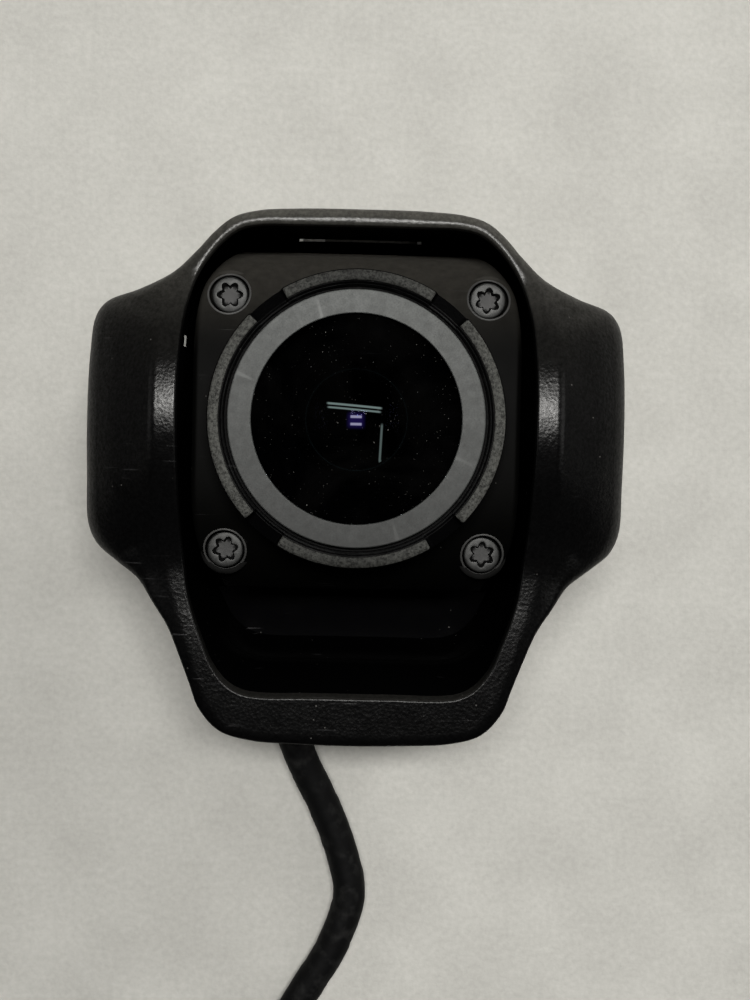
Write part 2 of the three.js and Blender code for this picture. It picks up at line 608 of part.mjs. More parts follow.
// ---------------------------------------------------------------- tilt pivots
for (const side of SIDES) {
  const name = side < 0 ? "left" : "right";
  const insert = cut(axisRod(side, 3.2, 17.6, 24.1, 20), axisRod(side, 2.0, 17, 25, 16));
  // thread, shoulder in the ear bore, head
  const screw = union(axisRod(side, 1.7, 18.6, 25.0, 16),
    axisRod(side, 3.05, 24.75, 28.9, 20),
    axisRod(side, 5.2, 28.6, 31.4, 20));
  const washer = cut(axisRod(side, 9.5, 24.65, 25.35, 36),
    axisRod(side, PIVOT_BORE_R, 24, 26, 20));
  add(`pivot_insert_${name}`, insert, FINISH.brass);
  add(`pivot_screw_${name}`, screw, FINISH.steel);
  add(`friction_washer_${name}`, washer, FINISH.washer);
}

// ---------------------------------------------------------------- cable
// plug in the rear wall, flange behind it, tapered tail, and a neck joining the first two
const gland = union(rodY(3.1, 8.7, 11.2, 20, GLAND_PLACE),
  rodY(4.6, 11.3, 13.0, 20, GLAND_PLACE),
  rodY(3.0, 12.8, 16.0, 20, GLAND_PLACE, 2.5),
  rodY(3.1, 11.0, 11.5, 20, GLAND_PLACE));
add("cable_gland", gland, FINISH.gasket);

// centre line from inside the housing down to the plug; x, y, z
const CABLE_PATH = [
  [CABLE_X, CABLE_Y, -28], [CABLE_X, CABLE_Y, -38], [CABLE_X, CABLE_Y, -47],
  [-10.9, 18.0, -52], [-8.9, 19.4, -58.5], [-4.9, 21.0, -67], [-0.9, 21.6, -77],
  [0.5, 21.65, -85], [-2.2, 21.65, -93.6], [-6.0, 21.65, -100.4], [-8.5, 21.6, -104.5],
  [-12.3, 20.8, -111], [-15.2, 19.4, -117.5], [-17.0, 18.9, -121.5],
];

function cable() {
  const sides = 10;
  const section = Array.from({ length: sides }, (_, i) => {
    const angle = 2 * Math.PI * i / sides;
    return new THREE.Vector2(CABLE_R * Math.cos(angle), CABLE_R * Math.sin(angle));
  });
  const points = CABLE_PATH.map((point) => new THREE.Vector3(...point));
  const extrudePath = new THREE.CatmullRomCurve3(points, false, "centripetal");
  const options = { steps: 28, extrudePath, bevelEnabled: false };
  return solid(new THREE.ExtrudeGeometry(new THREE.Shape(section), options));
}
add("cable", cable(), FINISH.cable);

function cableGrommet() {
  const bore = new THREE.CylinderGeometry(3.05, 3.05, 30, 20);
  bore.rotateX(Math.PI / 2);
  bore.translate(CABLE_X, CABLE_Y, -45);
  const body = block(CABLE_X - 4.0, CABLE_X + 4.0, 14.3, SHELL_BACK, CHIN_BOTTOM + 0.7, -42.5);
  return cut(body, solid(bore));
}
add("cable_grommet", cableGrommet(), FINISH.seal);

// ---------------------------------------------------------------- plug on the cable end
const PLUG_DIRECTION = new THREE.Vector3(-0.41, 0, -0.912).normalize();

// moves a geometry drawn along +Y from the origin to the cable end, along the plug
function alongPlug(geometry) {
  const up = new THREE.Vector3(0, 1, 0);
  geometry.applyQuaternion(new THREE.Quaternion().setFromUnitVectors(up, PLUG_DIRECTION));
  geometry.translate(...CABLE_PATH.at(-1));
  return solid(geometry);
}

// radius, distance along the plug
const OVERMOULD = [
  [0, 0.35], [3.5, 0.35], [3.7, 1.6], [3.7, 6.0], [5.4, 9.0], [5.4, 18.0], [0, 18.0],
];
const PLUG_BODY = [[0, 18.3], [5.6, 18.3], [5.6, 30.0], [4.9, 30.0], [4.9, 22.0], [0, 22.0]];
add("plug_overmould", alongPlug(lathe(OVERMOULD, 20)), FINISH.cable);
add("plug_body", alongPlug(lathe(PLUG_BODY, 24)), FINISH.plug);

const PIN_CIRCLE_R = 2.2;
for (let i = 0; i < 4; i++) {
  const angle = Math.PI / 4 + i * Math.PI / 2;
  const pin = new THREE.CylinderGeometry(0.5, 0.5, 5.6, 8);
  pin.translate(PIN_CIRCLE_R * Math.cos(angle), 25.2, PIN_CIRCLE_R * Math.sin(angle));
  add(`plug_pin_${i + 1}`, alongPlug(pin), FINISH.gold);
}

export default group;
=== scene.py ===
"""A hooded camera housing with a tilting camera module, a taped lead and a round plug.

Drawn in millimetres about the tilt axis: X to the right, Y to the back, Z up. The lens looks
along -Y. place() turns this into metres, with the back of the mounting pad on the plane Y = 0.
"""
import bpy, bmesh, math
from functools import partial
from mathutils import Vector, Matrix, noise


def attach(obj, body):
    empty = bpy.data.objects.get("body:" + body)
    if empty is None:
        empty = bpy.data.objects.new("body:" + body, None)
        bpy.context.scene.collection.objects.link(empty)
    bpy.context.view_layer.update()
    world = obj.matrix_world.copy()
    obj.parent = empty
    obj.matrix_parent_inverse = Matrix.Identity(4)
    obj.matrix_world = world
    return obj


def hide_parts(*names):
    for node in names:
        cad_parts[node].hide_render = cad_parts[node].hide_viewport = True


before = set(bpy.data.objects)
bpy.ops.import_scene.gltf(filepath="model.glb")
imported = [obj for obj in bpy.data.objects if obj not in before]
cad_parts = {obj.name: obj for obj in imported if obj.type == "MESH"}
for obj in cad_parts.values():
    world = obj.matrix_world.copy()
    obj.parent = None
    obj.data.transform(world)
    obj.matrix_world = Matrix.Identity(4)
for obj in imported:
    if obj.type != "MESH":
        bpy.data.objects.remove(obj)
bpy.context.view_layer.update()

MM = 0.001
PAD_BACK = 24.6     # back of the mounting pad
PLATE_BACK = 23.6   # back of the rear cover
SHELL_BACK = 20.5   # back edge of the hooded shell
GAP = 0.3           # gap at the joints between pieces
LENS_RADIUS, LENS_SAG = 7.1, 2.2  # front lens element


def place(p):
    return (p[0] * MM, (p[1] - PAD_BACK) * MM, p[2] * MM)


def lerp(a, b, t):
    return a + (b - a) * t


def lerp_point(a, b, t):
    return tuple(lerp(p, q, t) for p, q in zip(a, b))


def smooth01(x):
    x = max(0.0, min(1.0, x))
    return x * x * (3 - 2 * x)


def sphere_radius(radius, sag):
    """Radius of the sphere whose cap has this rim radius and height."""
    return (radius * radius + sag * sag) / (2 * sag)


# ------------------------------------------------------------------ objects from meshes
def tidy(ob, sharp, weld):
    """Weld, turn the normals outwards, and mark edges steeper than `sharp` degrees."""
    bm = bmesh.new()
    bm.from_mesh(ob.data)
    bmesh.ops.remove_doubles(bm, verts=bm.verts, dist=weld)
    bmesh.ops.dissolve_degenerate(bm, edges=bm.edges, dist=1e-7)
    bmesh.ops.recalc_face_normals(bm, faces=bm.faces)
    for face in bm.faces:
        face.smooth = True
    for edge in bm.edges:
        if len(edge.link_faces) == 2:
            edge.smooth = edge.calc_face_angle(0.0) < math.radians(sharp)
    bm.to_mesh(ob.data)
    bm.free()


def weight_normals(ob):
    mod = ob.modifiers.new("normals", "WEIGHTED_NORMAL")
    mod.keep_sharp = True
    mod.weight = 50


def new_object(name, mesh):
    verts, faces = mesh
    me = bpy.data.meshes.new(name)
    me.from_pydata([place(v) for v in verts], [], faces)
    ob = bpy.data.objects.new(name, me)
    bpy.context.scene.collection.objects.link(ob)
    return ob


def make(body, name, mesh, mat, slot, replaces=None, sharp=38, second=None):
    """Piece that rides on a body. second: (material, first face, one past the last face)."""
    ob = new_object(name, mesh)
    if second:
        for k in range(second[1], second[2]):
            ob.data.polygons[k].material_index = 1
    tidy(ob, sharp, weld=1e-7)
    ob.data.materials.append(MAT[mat])
    if second:
        ob.data.materials.append(MAT[second[0]])
    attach(ob, body)
    if replaces:
        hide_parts(replaces)
    weight_normals(ob)
    return ob


housing_piece = partial(make, "housing")
module_piece = partial(make, "camera_module")


def cut(ob, tools):
    """Take each tool mesh away from the object, one exact boolean after another."""
    ob.modifiers.clear()
    for mesh in tools:
        tool = new_object("cutter", mesh)
        tool_mesh = tool.data
        bm = bmesh.new()
        bm.from_mesh(tool_mesh)
        bmesh.ops.recalc_face_normals(bm, faces=bm.faces)
        bm.to_mesh(tool_mesh)
        bm.free()
        mod = ob.modifiers.new("cut", "BOOLEAN")
        mod.operation = "DIFFERENCE"
        mod.solver = "EXACT"
        mod.object = tool
        graph = bpy.context.evaluated_depsgraph_get()
        result = bpy.data.meshes.new_from_object(ob.evaluated_get(graph))
        ob.modifiers.clear()
        old = ob.data
        ob.data = result
        bpy.data.meshes.remove(old)
        bpy.data.objects.remove(tool)
        bpy.data.meshes.remove(tool_mesh)
    tidy(ob, sharp=32, weld=2e-7)
    weight_normals(ob)


# ------------------------------------------------------------------ mesh builders
# Each returns (vertices, faces).
def rings(loops, closed_rows=False, centre=(None, None)):
    """Quads between loops of equal length; rows closed on themselves, or capped at both ends.

    centre: a point for each cap that is a fan; without one the cap is a single face."""
    n = len(loops[0])
    rows = len(loops)
    verts = [p for loop in loops for p in loop]
    faces = []
    for r in range(rows if closed_rows else rows - 1):
        a, b = r * n, ((r + 1) % rows) * n
        for i in range(n):
            j = (i + 1) % n
            faces.append((a + i, a + j, b + j, b + i))
    if closed_rows:
        return verts, faces
    for base, middle, first in ((0, centre[0], True), ((rows - 1) * n, centre[1], False)):
        if middle is None:
            rim = range(base, base + n)
            faces.append(tuple(reversed(rim)) if first else tuple(rim))
            continue
        c = len(verts)
        verts.append(middle)
        for i in range(n):
            j = (i + 1) % n
            faces.append((c, base + j, base + i) if first else (c, base + i, base + j))
    return verts, faces


def corner(points, i, radius, steps, limit):
    """Short curve in place of corner i, using at most `limit` of each neighbouring side."""
    p, a, b = Vector(points[i]), Vector(points[i - 1]), Vector(points[(i + 1) % len(points)])
    to_a, to_b = a - p, b - p
    len_a, len_b = to_a.length, to_b.length
    start = p + to_a / len_a * min(radius, len_a * limit)
    end = p + to_b / len_b * min(radius, len_b * limit)
    curve = []
    for k in range(steps + 1):
        t = k / steps
        curve.append(tuple((1 - t) ** 2 * start + 2 * t * (1 - t) * p + t * t * end))
    return curve


def round_profile(points, radii, steps, closed=True):
    """Polyline with rounded corners. radii: one number, or one per point."""
    out = []
    for i, point in enumerate(points):
        radius = radii[i] if isinstance(radii, (list, tuple)) else radii
        if (not closed and i in (0, len(points) - 1)) or radius <= 0:
            out.append(tuple(Vector(point)))
        else:
            out += corner(points, i, radius, steps, limit=0.46)
    return out


def lathe(profile, segments, cx, cz):
    """One loop per (radius, y) point, about the Y direction through (cx, cz)."""
    return [[(cx + r * math.sin(2 * math.pi * i / segments), y,
              cz + r * math.cos(2 * math.pi * i / segments)) for i in range(segments)]
            for r, y in profile]


def lathe_closed(profile, segments, cx=0.0, cz=0.0):
    """Profile with a hole in the middle: the rows close on themselves."""
    return rings(lathe(profile, segments, cx, cz), closed_rows=True)


def lathe_solid(profile, segments, cx=0.0, cz=0.0):
    """Profile that starts and ends on the axis."""
    off_axis = [p for p in profile if p[0] > 1e-6]
    return rings(lathe(off_axis, segments, cx, cz),
                 centre=((cx, profile[0][1], cz), (cx, profile[-1][1], cz)))


def catmull(points, sub, closed=True, key=None):
    """Centripetal Catmull-Rom through points; key gives the coordinates that set the spacing."""
    out = []
    if not closed:
        before = tuple(2 * a - b for a, b in zip(points[0], points[1]))
        after = tuple(2 * a - b for a, b in zip(points[-1], points[-2]))
        points = [before] + list(points) + [after]
        for i in range(len(points) - 3):
            out += catmull_span(points[i:i + 4], points[i:i + 4], sub)
        return out + [tuple(points[-2])]
    n = len(points)
    key = key or points
    for i in range(n):
        near = [(i - 1) % n, i, (i + 1) % n, (i + 2) % n]
        out += catmull_span([points[k] for k in near], [key[k] for k in near], sub)
    return out


def catmull_span(p, key, sub):
    """Points of the span between p[1] and p[2]."""
    key = [Vector(k) for k in key]
    t = [0.0]
    for a in range(3):
        t.append(t[-1] + max((key[a + 1] - key[a]).length, 1e-4) ** 0.5)

    def blend(i, j, a, b):
        return (t[j] - u) / (t[j] - t[i]) * a + (u - t[i]) / (t[j] - t[i]) * b
    out = []
    for s in range(sub):
        u = lerp(t[1], t[2], s / sub)
        value = []
        for q in zip(*p):
            a1, a2, a3 = (blend(i, i + 1, q[i], q[i + 1]) for i in range(3))
            value.append(blend(1, 2, blend(0, 2, a1, a2), blend(1, 3, a2, a3)))
        out.append(tuple(value))
    return out


def mirrored(half, x_columns):
    """Half outline that starts and ends on X = 0, carried back round the -X side."""
    return half + [tuple(-c if i in x_columns else c for i, c in enumerate(row))
                   for row in reversed(half[1:-1])]


def box(x0, x1, y0, y1, z0, z1):
    verts = [(x, y, z) for z in (z0, z1) for y in (y0, y1) for x in (x0, x1)]
    faces = [(0, 1, 3, 2), (4, 6, 7, 5), (0, 4, 5, 1), (2, 3, 7, 6), (0, 2, 6, 4), (1, 5, 7, 3)]
    return verts, faces


def rod(axis, radius, start, end, u, v, sides=48):
    """Cylinder about X (u=y, v=z), Y (u=x, v=z) or Z (u=x, v=y)."""
    loops = []
    for t in (start, end):
        loop = []
        for i in range(sides):
            a = u + radius * math.cos(2 * math.pi * i / sides)
            b = v + radius * math.sin(2 * math.pi * i / sides)
            loop.append({"x": (t, a, b), "y": (a, t, b), "z": (a, b, t)}[axis])
        loops.append(loop)
    return rings(loops)


def slab(outline, y0, y1):
    return rings([[(x, y, z) for x, z in outline] for y in (y0, y1)])


# ------------------------------------------------------------------ shader graph helper
class Graph:
    """Shader nodes of a material or world. Most methods return an output socket."""

    def __init__(self, owner, output="OutputMaterial"):
        owner.use_nodes = True
        self.tree = owner.node_tree
        self.tree.nodes.clear()
        self.out = self.node(output)

    def node(self, kind, inputs=None, **settings):
        new = self.tree.nodes.new("ShaderNode" + kind)
        for key, value in settings.items():
            setattr(new, key, value)
        for key, value in (inputs or {}).items():
            socket = new.inputs[key]
            if isinstance(value, bpy.types.NodeSocket):
                self.tree.links.new(value, socket)
            elif socket.type == "RGBA":
                socket.default_value = (*value, 1)
            else:
                socket.default_value = value
        return new

    def surface(self, shader):
        self.tree.links.new(shader, self.out.inputs["Surface"])

    def coord(self):
        return self.node("TexCoord").outputs["Object"]

    def geometry(self, name):
        return self.node("NewGeometry").outputs[name]

    def separate(self, vector):
        return self.node("SeparateXYZ", {0: vector}).outputs

    def combine(self, *values):
        return self.node("CombineXYZ", dict(enumerate(values))).outputs[0]

    def noise(self, vector, scale, detail=4.0, rough=0.55, warp=0.0):
        return self.node("TexNoise", {"Scale": scale, "Detail": detail, "Roughness": rough,
                                      "Distortion": warp, "Vector": vector}).outputs["Fac"]

    def voronoi(self, vector, scale):
        return self.node("TexVoronoi", {"Scale": scale, "Vector": vector}).outputs["Distance"]

    def ramp(self, fac, stops):
        """stops: {position: grey value}."""
        new = self.node("ValToRGB", {"Fac": fac})
        elements = new.color_ramp.elements
        while len(elements) < len(stops):
            elements.new(0.5)
        for element, (position, grey) in zip(elements, stops.items()):
            element.position = position
            element.color = (grey, grey, grey, 1)
        return new.outputs["Color"]

    def map_range(self, value, low, high, to_low=0.0, to_high=1.0, smooth=False):
        return self.node("MapRange", {0: value, 1: low, 2: high, 3: to_low, 4: to_high},
                         interpolation_type="SMOOTHSTEP" if smooth else "LINEAR").outputs[0]

    def math(self, op, a, b=None, clamp=False):
        inputs = {0: a} if b is None else {0: a, 1: b}
        return self.node("Math", inputs, operation=op, use_clamp=clamp).outputs[0]

    def times(self, a, b, clamp=False):
        return self.math("MULTIPLY", a, b, clamp)

    def plus(self, a, b, clamp=False):
        return self.math("ADD", a, b, clamp)

    def minus(self, a, b):
        return self.math("SUBTRACT", a, b)

    def off(self, value, middle):
        """Distance of a value from the middle."""
        return self.math("ABSOLUTE", self.minus(value, middle))

    def turned_radius(self, xyz):
        """Distance from the Y axis."""
        return self.math("SQRT", self.plus(self.math("POWER", xyz[0], 2.0),
                                           self.math("POWER", xyz[2], 2.0)))

    def mix(self, fac, a, b, blend="MIX"):
        return self.node("Mix", {0: fac, 6: a, 7: b}, data_type="RGBA",
                         blend_type=blend).outputs[2]

    def dim(self, colour, grey):
        return self.mix(1.0, colour, self.combine(grey, grey, grey), "MULTIPLY")

    def bump(self, height, strength, distance, normal=None):
        inputs = {"Strength": strength, "Distance": distance, "Height": height}
        if normal is not None:
            inputs["Normal"] = normal
        return self.node("Bump", inputs).outputs["Normal"]

    def edge_wear(self):
        return self.ramp(self.geometry("Pointiness"), {0.515: 0.0, 0.56: 1.0})

    def mix_shader(self, fac, a, b):
        return self.node("MixShader", {0: fac, 1: a, 2: b}).outputs[0]

    def add_shader(self, a, b):
        return self.node("AddShader", {0: a, 1: b}).outputs[0]

    def emission(self, colour, strength):
        return self.node("Emission", {"Color": colour, "Strength": strength}).outputs[0]

    def principled(self, colour, rough, normal, metallic=0.0, spec=0.5):
        return self.node("BsdfPrincipled", {
            "Base Color": colour, "Roughness": rough, "Metallic": metallic,
            "Specular IOR Level": spec, "Coat Roughness": 0.1, "Normal": normal}).outputs[0]

    def plastic(self, colour, rough, normal, gloss):
        """Diffuse body under a thin gloss whose lobe ends quickly."""
        body = self.node("BsdfDiffuse", {"Color": colour, "Normal": normal}).outputs[0]
        tight, wide = (self.node("BsdfGlossy", {"Roughness": rough, "Normal": normal},
                                 distribution=kind).outputs[0] for kind in ("BECKMANN", "GGX"))
        fresnel = self.node("Fresnel", {"IOR": 1.47, "Normal": normal}).outputs[0]
        lobes = self.mix_shader(0.3, tight, wide)
        most_gloss = 0.16
        amount = self.math("MINIMUM", self.times(fresnel, gloss, clamp=True), most_gloss)
        return self.mix_shader(amount, body, lobes)


MAT = {}


def start(name):
    """New material: its graph and its object coordinates."""
    MAT[name] = bpy.data.materials.new(name)
    g = Graph(MAT[name])
    return g, g.coord()


def scaled_colour(colour, factor, lift=0.0):
    return tuple(min(1.0, c * factor + lift) for c in colour)


# ------------------------------------------------------------------ moulded plastic
def hairlines(g, co):
    """Stretched noise, only where a slow mask lets it through."""
    stretched = g.node("Mapping", {"Rotation": (0.3, 0.5, 0.4), "Scale": (90, 90, 1900),
                                   "Vector": co}).outputs["Vector"]
    lines = g.noise(stretched, scale=1.0, detail=2.0, rough=0.5)
    mask = g.ramp(g.noise(co, scale=95.0, detail=2.0), {0.56: 0.0, 0.66: 1.0})
    return g.times(g.ramp(lines, {0.66: 0.0, 0.70: 1.0}), mask)


def add_painted_top_light(g, co, shade, low, high, colour):
    """Painted top light: the colour pales upwards from low to high (mm), in patches."""
    height = g.map_range(g.separate(co)[2], low * MM, high * MM)
    patches = g.ramp(g.noise(co, scale=700.0, detail=5.0, rough=0.7), {0.25: 0.6, 0.7: 1.0})
    return g.mix(g.times(g.math("POWER", height, 1.5), patches), shade, colour)


def add_painted_shell_light(g, co, shade, low, high, colour):
    """Painted top light on whatever looks up, strongest high on the part, and a painted grey sheen
    on the flanks.

    Returns the shade and where the painted flank sheen lies."""
    normal = g.separate(g.geometry("Normal"))
    xyz = g.separate(co)
    up = g.map_range(normal[2], 0.0, 0.80, smooth=True)
    raised = g.map_range(xyz[2], low * MM, high * MM, smooth=True)
    # painted top light: a base share and a height share on upward faces, the rest on height alone
    pale_share = g.plus(g.times(up, g.plus(0.20, g.times(raised, 0.38))),
                   g.times(raised, 0.62), clamp=True)
    patches = g.ramp(g.noise(co, scale=900.0, detail=5.0, rough=0.7), {0.25: 0.62, 0.7: 1.0})
    shade = g.mix(g.times(pale_share, patches), shade, colour)
    # painted flank sheen: the flanks face away from Y and fade in behind the rim
    flank = g.map_range(g.minus(1.0, g.math("ABSOLUTE", normal[1])), 0.62, 0.97, smooth=True)
    behind_rim = g.map_range(xyz[1], (-20.0 - PAD_BACK) * MM, (-13.0 - PAD_BACK) * MM, smooth=True)
    flank = g.times(flank, behind_rim)
    return g.mix(g.times(flank, 0.50), shade, colour), g.times(flank, up)


def add_painted_ridge_highlight(g, co, shade, front_of, colour, edges):
    """Painted highlight: everything in front of a depth (mm) is made light, most at the sides.

    edges: (radius, half width, tone) of turned steps that get a thin painted highlight line, in mm."""
    xyz = g.separate(co)
    proud = g.math("LESS_THAN", xyz[1], (front_of - PAD_BACK) * MM)
    side = g.math("DIVIDE", g.math("ABSOLUTE", xyz[0]), 20.8 * MM, clamp=True)
    proud = g.times(proud, g.plus(0.42, g.times(side, 0.58)))
    mottling = g.times(
        g.ramp(g.noise(co, scale=2600.0, detail=4.0, rough=0.75), {0.36: 0.18, 0.60: 1.0}),
        g.ramp(g.voronoi(co, scale=3000.0), {0.05: 0.35, 0.30: 1.0}))
    shade = g.mix(g.times(proud, mottling), shade, colour)
    radius_here = g.turned_radius(xyz)
    for radius, half, tone in edges:
        near = g.map_range(g.off(radius_here, radius * MM), 0.0, half * MM, 1.0, 0.0)
        patches = g.ramp(g.noise(co, scale=160.0, detail=3.0), {0.35: 0.2, 0.6: 1.0})
        shade = g.mix(g.times(near, patches), shade, tone)
    return shade


def add_painted_light_spots(g, co, shade, painted_light_spots):
    """Painted light spots, each inside a box."""
    xyz = g.separate(co)
    for *limits, tone in painted_light_spots:
        inside = None
        for axis, offset in enumerate((0.0, PAD_BACK, 0.0)):
            low, high = limits[2 * axis:2 * axis + 2]
            middle, half = ((low + high) / 2 - offset) * MM, (high - low) / 2 * MM
            within = g.math("LESS_THAN", g.off(xyz[axis], middle), half)
            inside = within if inside is None else g.times(inside, within)
        shade = g.mix(inside, shade, tone)
    return shade


def moulded(name, base, rough, grain_scale, grain_depth, dust=0.0, wear=0.25, spec=0.5,
            strength=0.6, painted_ridge_highlight=None, painted_top_light=None, painted_shell_light=None, mottle=0.0, painted_light_spots=()):
    """Moulded plastic: grain, slight shade drift, a few scratches, dust, rubbed edges."""
    g, co = start(name)
    # grain: cells with finer and coarser noise
    cells = g.voronoi(co, grain_scale)
    fine = g.noise(co, scale=grain_scale * 1.9, detail=3.0, rough=0.6)
    coarse = g.noise(co, scale=grain_scale * 0.28, detail=4.0, rough=0.6, warp=0.4)
    grain = g.plus(g.times(cells, 0.55), g.plus(g.times(fine, 0.45), g.times(coarse, 0.5)))
    scratch = hairlines(g, co)
    normal = g.bump(grain, strength, distance=grain_depth)
    normal = g.bump(scratch, strength=0.25, distance=0.00003, normal=normal)
    # shade: slow drift, rubbed edges, pale scratches
    shade = g.mix(g.noise(co, scale=60.0, detail=3.0), tuple(c * 0.82 for c in base),
                  tuple(c * 1.22 for c in base))
    patches = g.ramp(g.noise(co, scale=420.0, detail=3.0), {0.35: 0.0, 0.7: 1.0})
    worn = g.times(g.edge_wear(), g.times(patches, wear))
    shade = g.mix(worn, shade, scaled_colour(base, factor=2.2, lift=0.012))
    shade = g.mix(g.times(scratch, 0.25), shade, (0.06, 0.06, 0.062))
    if painted_top_light:
        shade = add_painted_top_light(g, co, shade, **painted_top_light)
    if painted_shell_light:
        shade, painted_flank_sheen = add_painted_shell_light(g, co, shade, **painted_shell_light)
    if painted_ridge_highlight:
        shade = add_painted_ridge_highlight(g, co, shade, **painted_ridge_highlight)
    if painted_light_spots:
        shade = add_painted_light_spots(g, co, shade, painted_light_spots)
    # dust specks, pale and rough, gathered in patches
    specks = g.ramp(g.voronoi(co, scale=620.0), {0.0: 1.0, 0.085: 0.0})
    gate = g.ramp(g.noise(co, scale=260.0, detail=2.0), {0.56: 0.0, 0.60: 1.0})
    speck = g.times(g.times(specks, gate), dust)
    shade = g.mix(speck, shade, (0.22, 0.215, 0.20))
    # roughness varies by 0.08 about its value
    rough = g.plus(rough - 0.04, g.times(g.noise(co, scale=240.0, detail=4.0), 0.08))
    rough = g.plus(rough, g.times(speck, 0.3), clamp=True)
    gloss = spec * 2.0
    if mottle:  # blotches in tone and gloss, with less gloss low on the part
        blotch = g.ramp(g.noise(co, scale=1700.0, detail=4.0, rough=0.75),
                        {0.36: 1.0 - mottle, 0.62: 1.0})
        shade = g.dim(shade, blotch)
        low = g.map_range(g.separate(co)[2], -38 * MM, -29 * MM, to_low=0.45, to_high=1.0)
        gloss = g.times(g.times(blotch, low), spec * 2.2)
    if painted_shell_light:  # the painted flank sheen is dull as well as grey
        gloss = g.times(gloss, g.minus(1.0, g.times(painted_flank_sheen, 0.98)))
    g.surface(g.plastic(shade, rough, normal, gloss))


# ------------------------------------------------------------------ metal, rubber, glass, board
def metal(name, base, rough, brushed=False, wear=0.3, spot=0.15, metallic=1.0, painted_reflection_rings=(),
          tone=None, pitted=0.0, walls=None):
    """Plated or turned metal with small pits and rubbed edges.

    brushed: tool lines round the Y axis. painted_reflection_rings: thin rings of painted reflection,
    as (radius, half width, colour) in mm. tone: painted light and shade, brightness over a height
    range. walls: colour of steep walls, painted shade."""
    g, co = start(name)
    grime = g.noise(co, scale=900.0, detail=5.0, rough=0.65)
    height = g.noise(co, scale=5200.0, detail=3.0)
    if brushed:
        across = g.combine(g.turned_radius(g.separate(co)))
        lines = g.noise(across, scale=9000.0, detail=2.0)
        height = g.plus(g.times(lines, 0.35), g.times(height, 0.65))
    pits = g.ramp(g.voronoi(co, scale=1500.0), {0.0: 0.0, 0.12: 1.0})
    height = g.plus(height, g.times(pits, 0.25))
    normal = g.bump(height, strength=0.35, distance=0.00002)
    shade = g.mix(g.ramp(grime, {0.35: 0.0, 0.7: 1.0}), scaled_colour(base, 1 - spot),
                  scaled_colour(base, 1 + spot))
    if pitted:  # dark dots in patches, and fine grit
        dots = g.times(g.ramp(g.voronoi(co, scale=2300.0), {0.10: 1.0, 0.24: 0.0}),
                       g.ramp(g.noise(co, scale=800.0, detail=3.0), {0.45: 0.0, 0.60: 1.0}))
        grit = g.ramp(g.noise(co, scale=4200.0, detail=3.0, rough=0.7), {0.40: 1.0, 0.56: 0.0})
        amount = g.times(g.plus(dots, g.times(grit, 0.5), clamp=True), pitted)
        shade = g.mix(amount, shade, scaled_colour(base, factor=0.35))
    worn = g.times(g.edge_wear(), wear)
    shade = g.mix(worn, shade, scaled_colour(base, factor=2.0, lift=0.05))
    if walls:  # painted shade: faces that look along Y keep the base tone, steeper ones take this
        along_y = g.math("ABSOLUTE", g.separate(g.geometry("True Normal"))[1])
        shade = g.mix(g.math("LESS_THAN", along_y, 0.9), shade, walls)
    # painted light and shade: lighter or darker with height
    if tone:
        shade = g.dim(shade, g.map_range(g.separate(co)[2], tone["low"] * MM, tone["high"] * MM,
                                         tone["at_low"], tone["at_high"]))
    # thin rings of painted reflection
    for radius, half, colour in painted_reflection_rings:
        radius_here = g.turned_radius(g.separate(co))
        near = g.map_range(g.off(radius_here, radius * MM), 0.0, half * MM, 1.0, 0.0)
        shade = g.mix(near, shade, colour)
    varied = g.times(g.noise(co, scale=700.0, detail=4.0), 0.12)
    g.surface(g.principled(shade, g.plus(rough - 0.06, varied, clamp=True), normal,
                           metallic=metallic, spec=0.32 if pitted else 0.5))


def rubber(name, base, rough=0.62, scale=1100.0, depth=0.00004, spec=0.35):
    g, co = start(name)
    height = g.plus(g.noise(co, scale, detail=5.0, rough=0.7),
                    g.times(g.voronoi(co, scale * 0.6), 0.4))
    normal = g.bump(height, strength=0.55, distance=depth)
    shade = g.mix(g.noise(co, scale=130.0, detail=4.0), tuple(c * 0.75 for c in base),
                  tuple(c * 1.35 for c in base))
    # pale bloom in patches
    pale_share = g.times(g.ramp(g.noise(co, scale=380.0, detail=4.0), {0.5: 0.0, 0.75: 1.0}), 0.22)
    shade = g.mix(pale_share, shade, (0.05, 0.05, 0.048))
    varied = g.times(g.noise(co, scale=500.0, detail=4.0), 0.14)
    g.surface(g.principled(shade, g.plus(rough - 0.07, varied, clamp=True), normal, spec=spec))


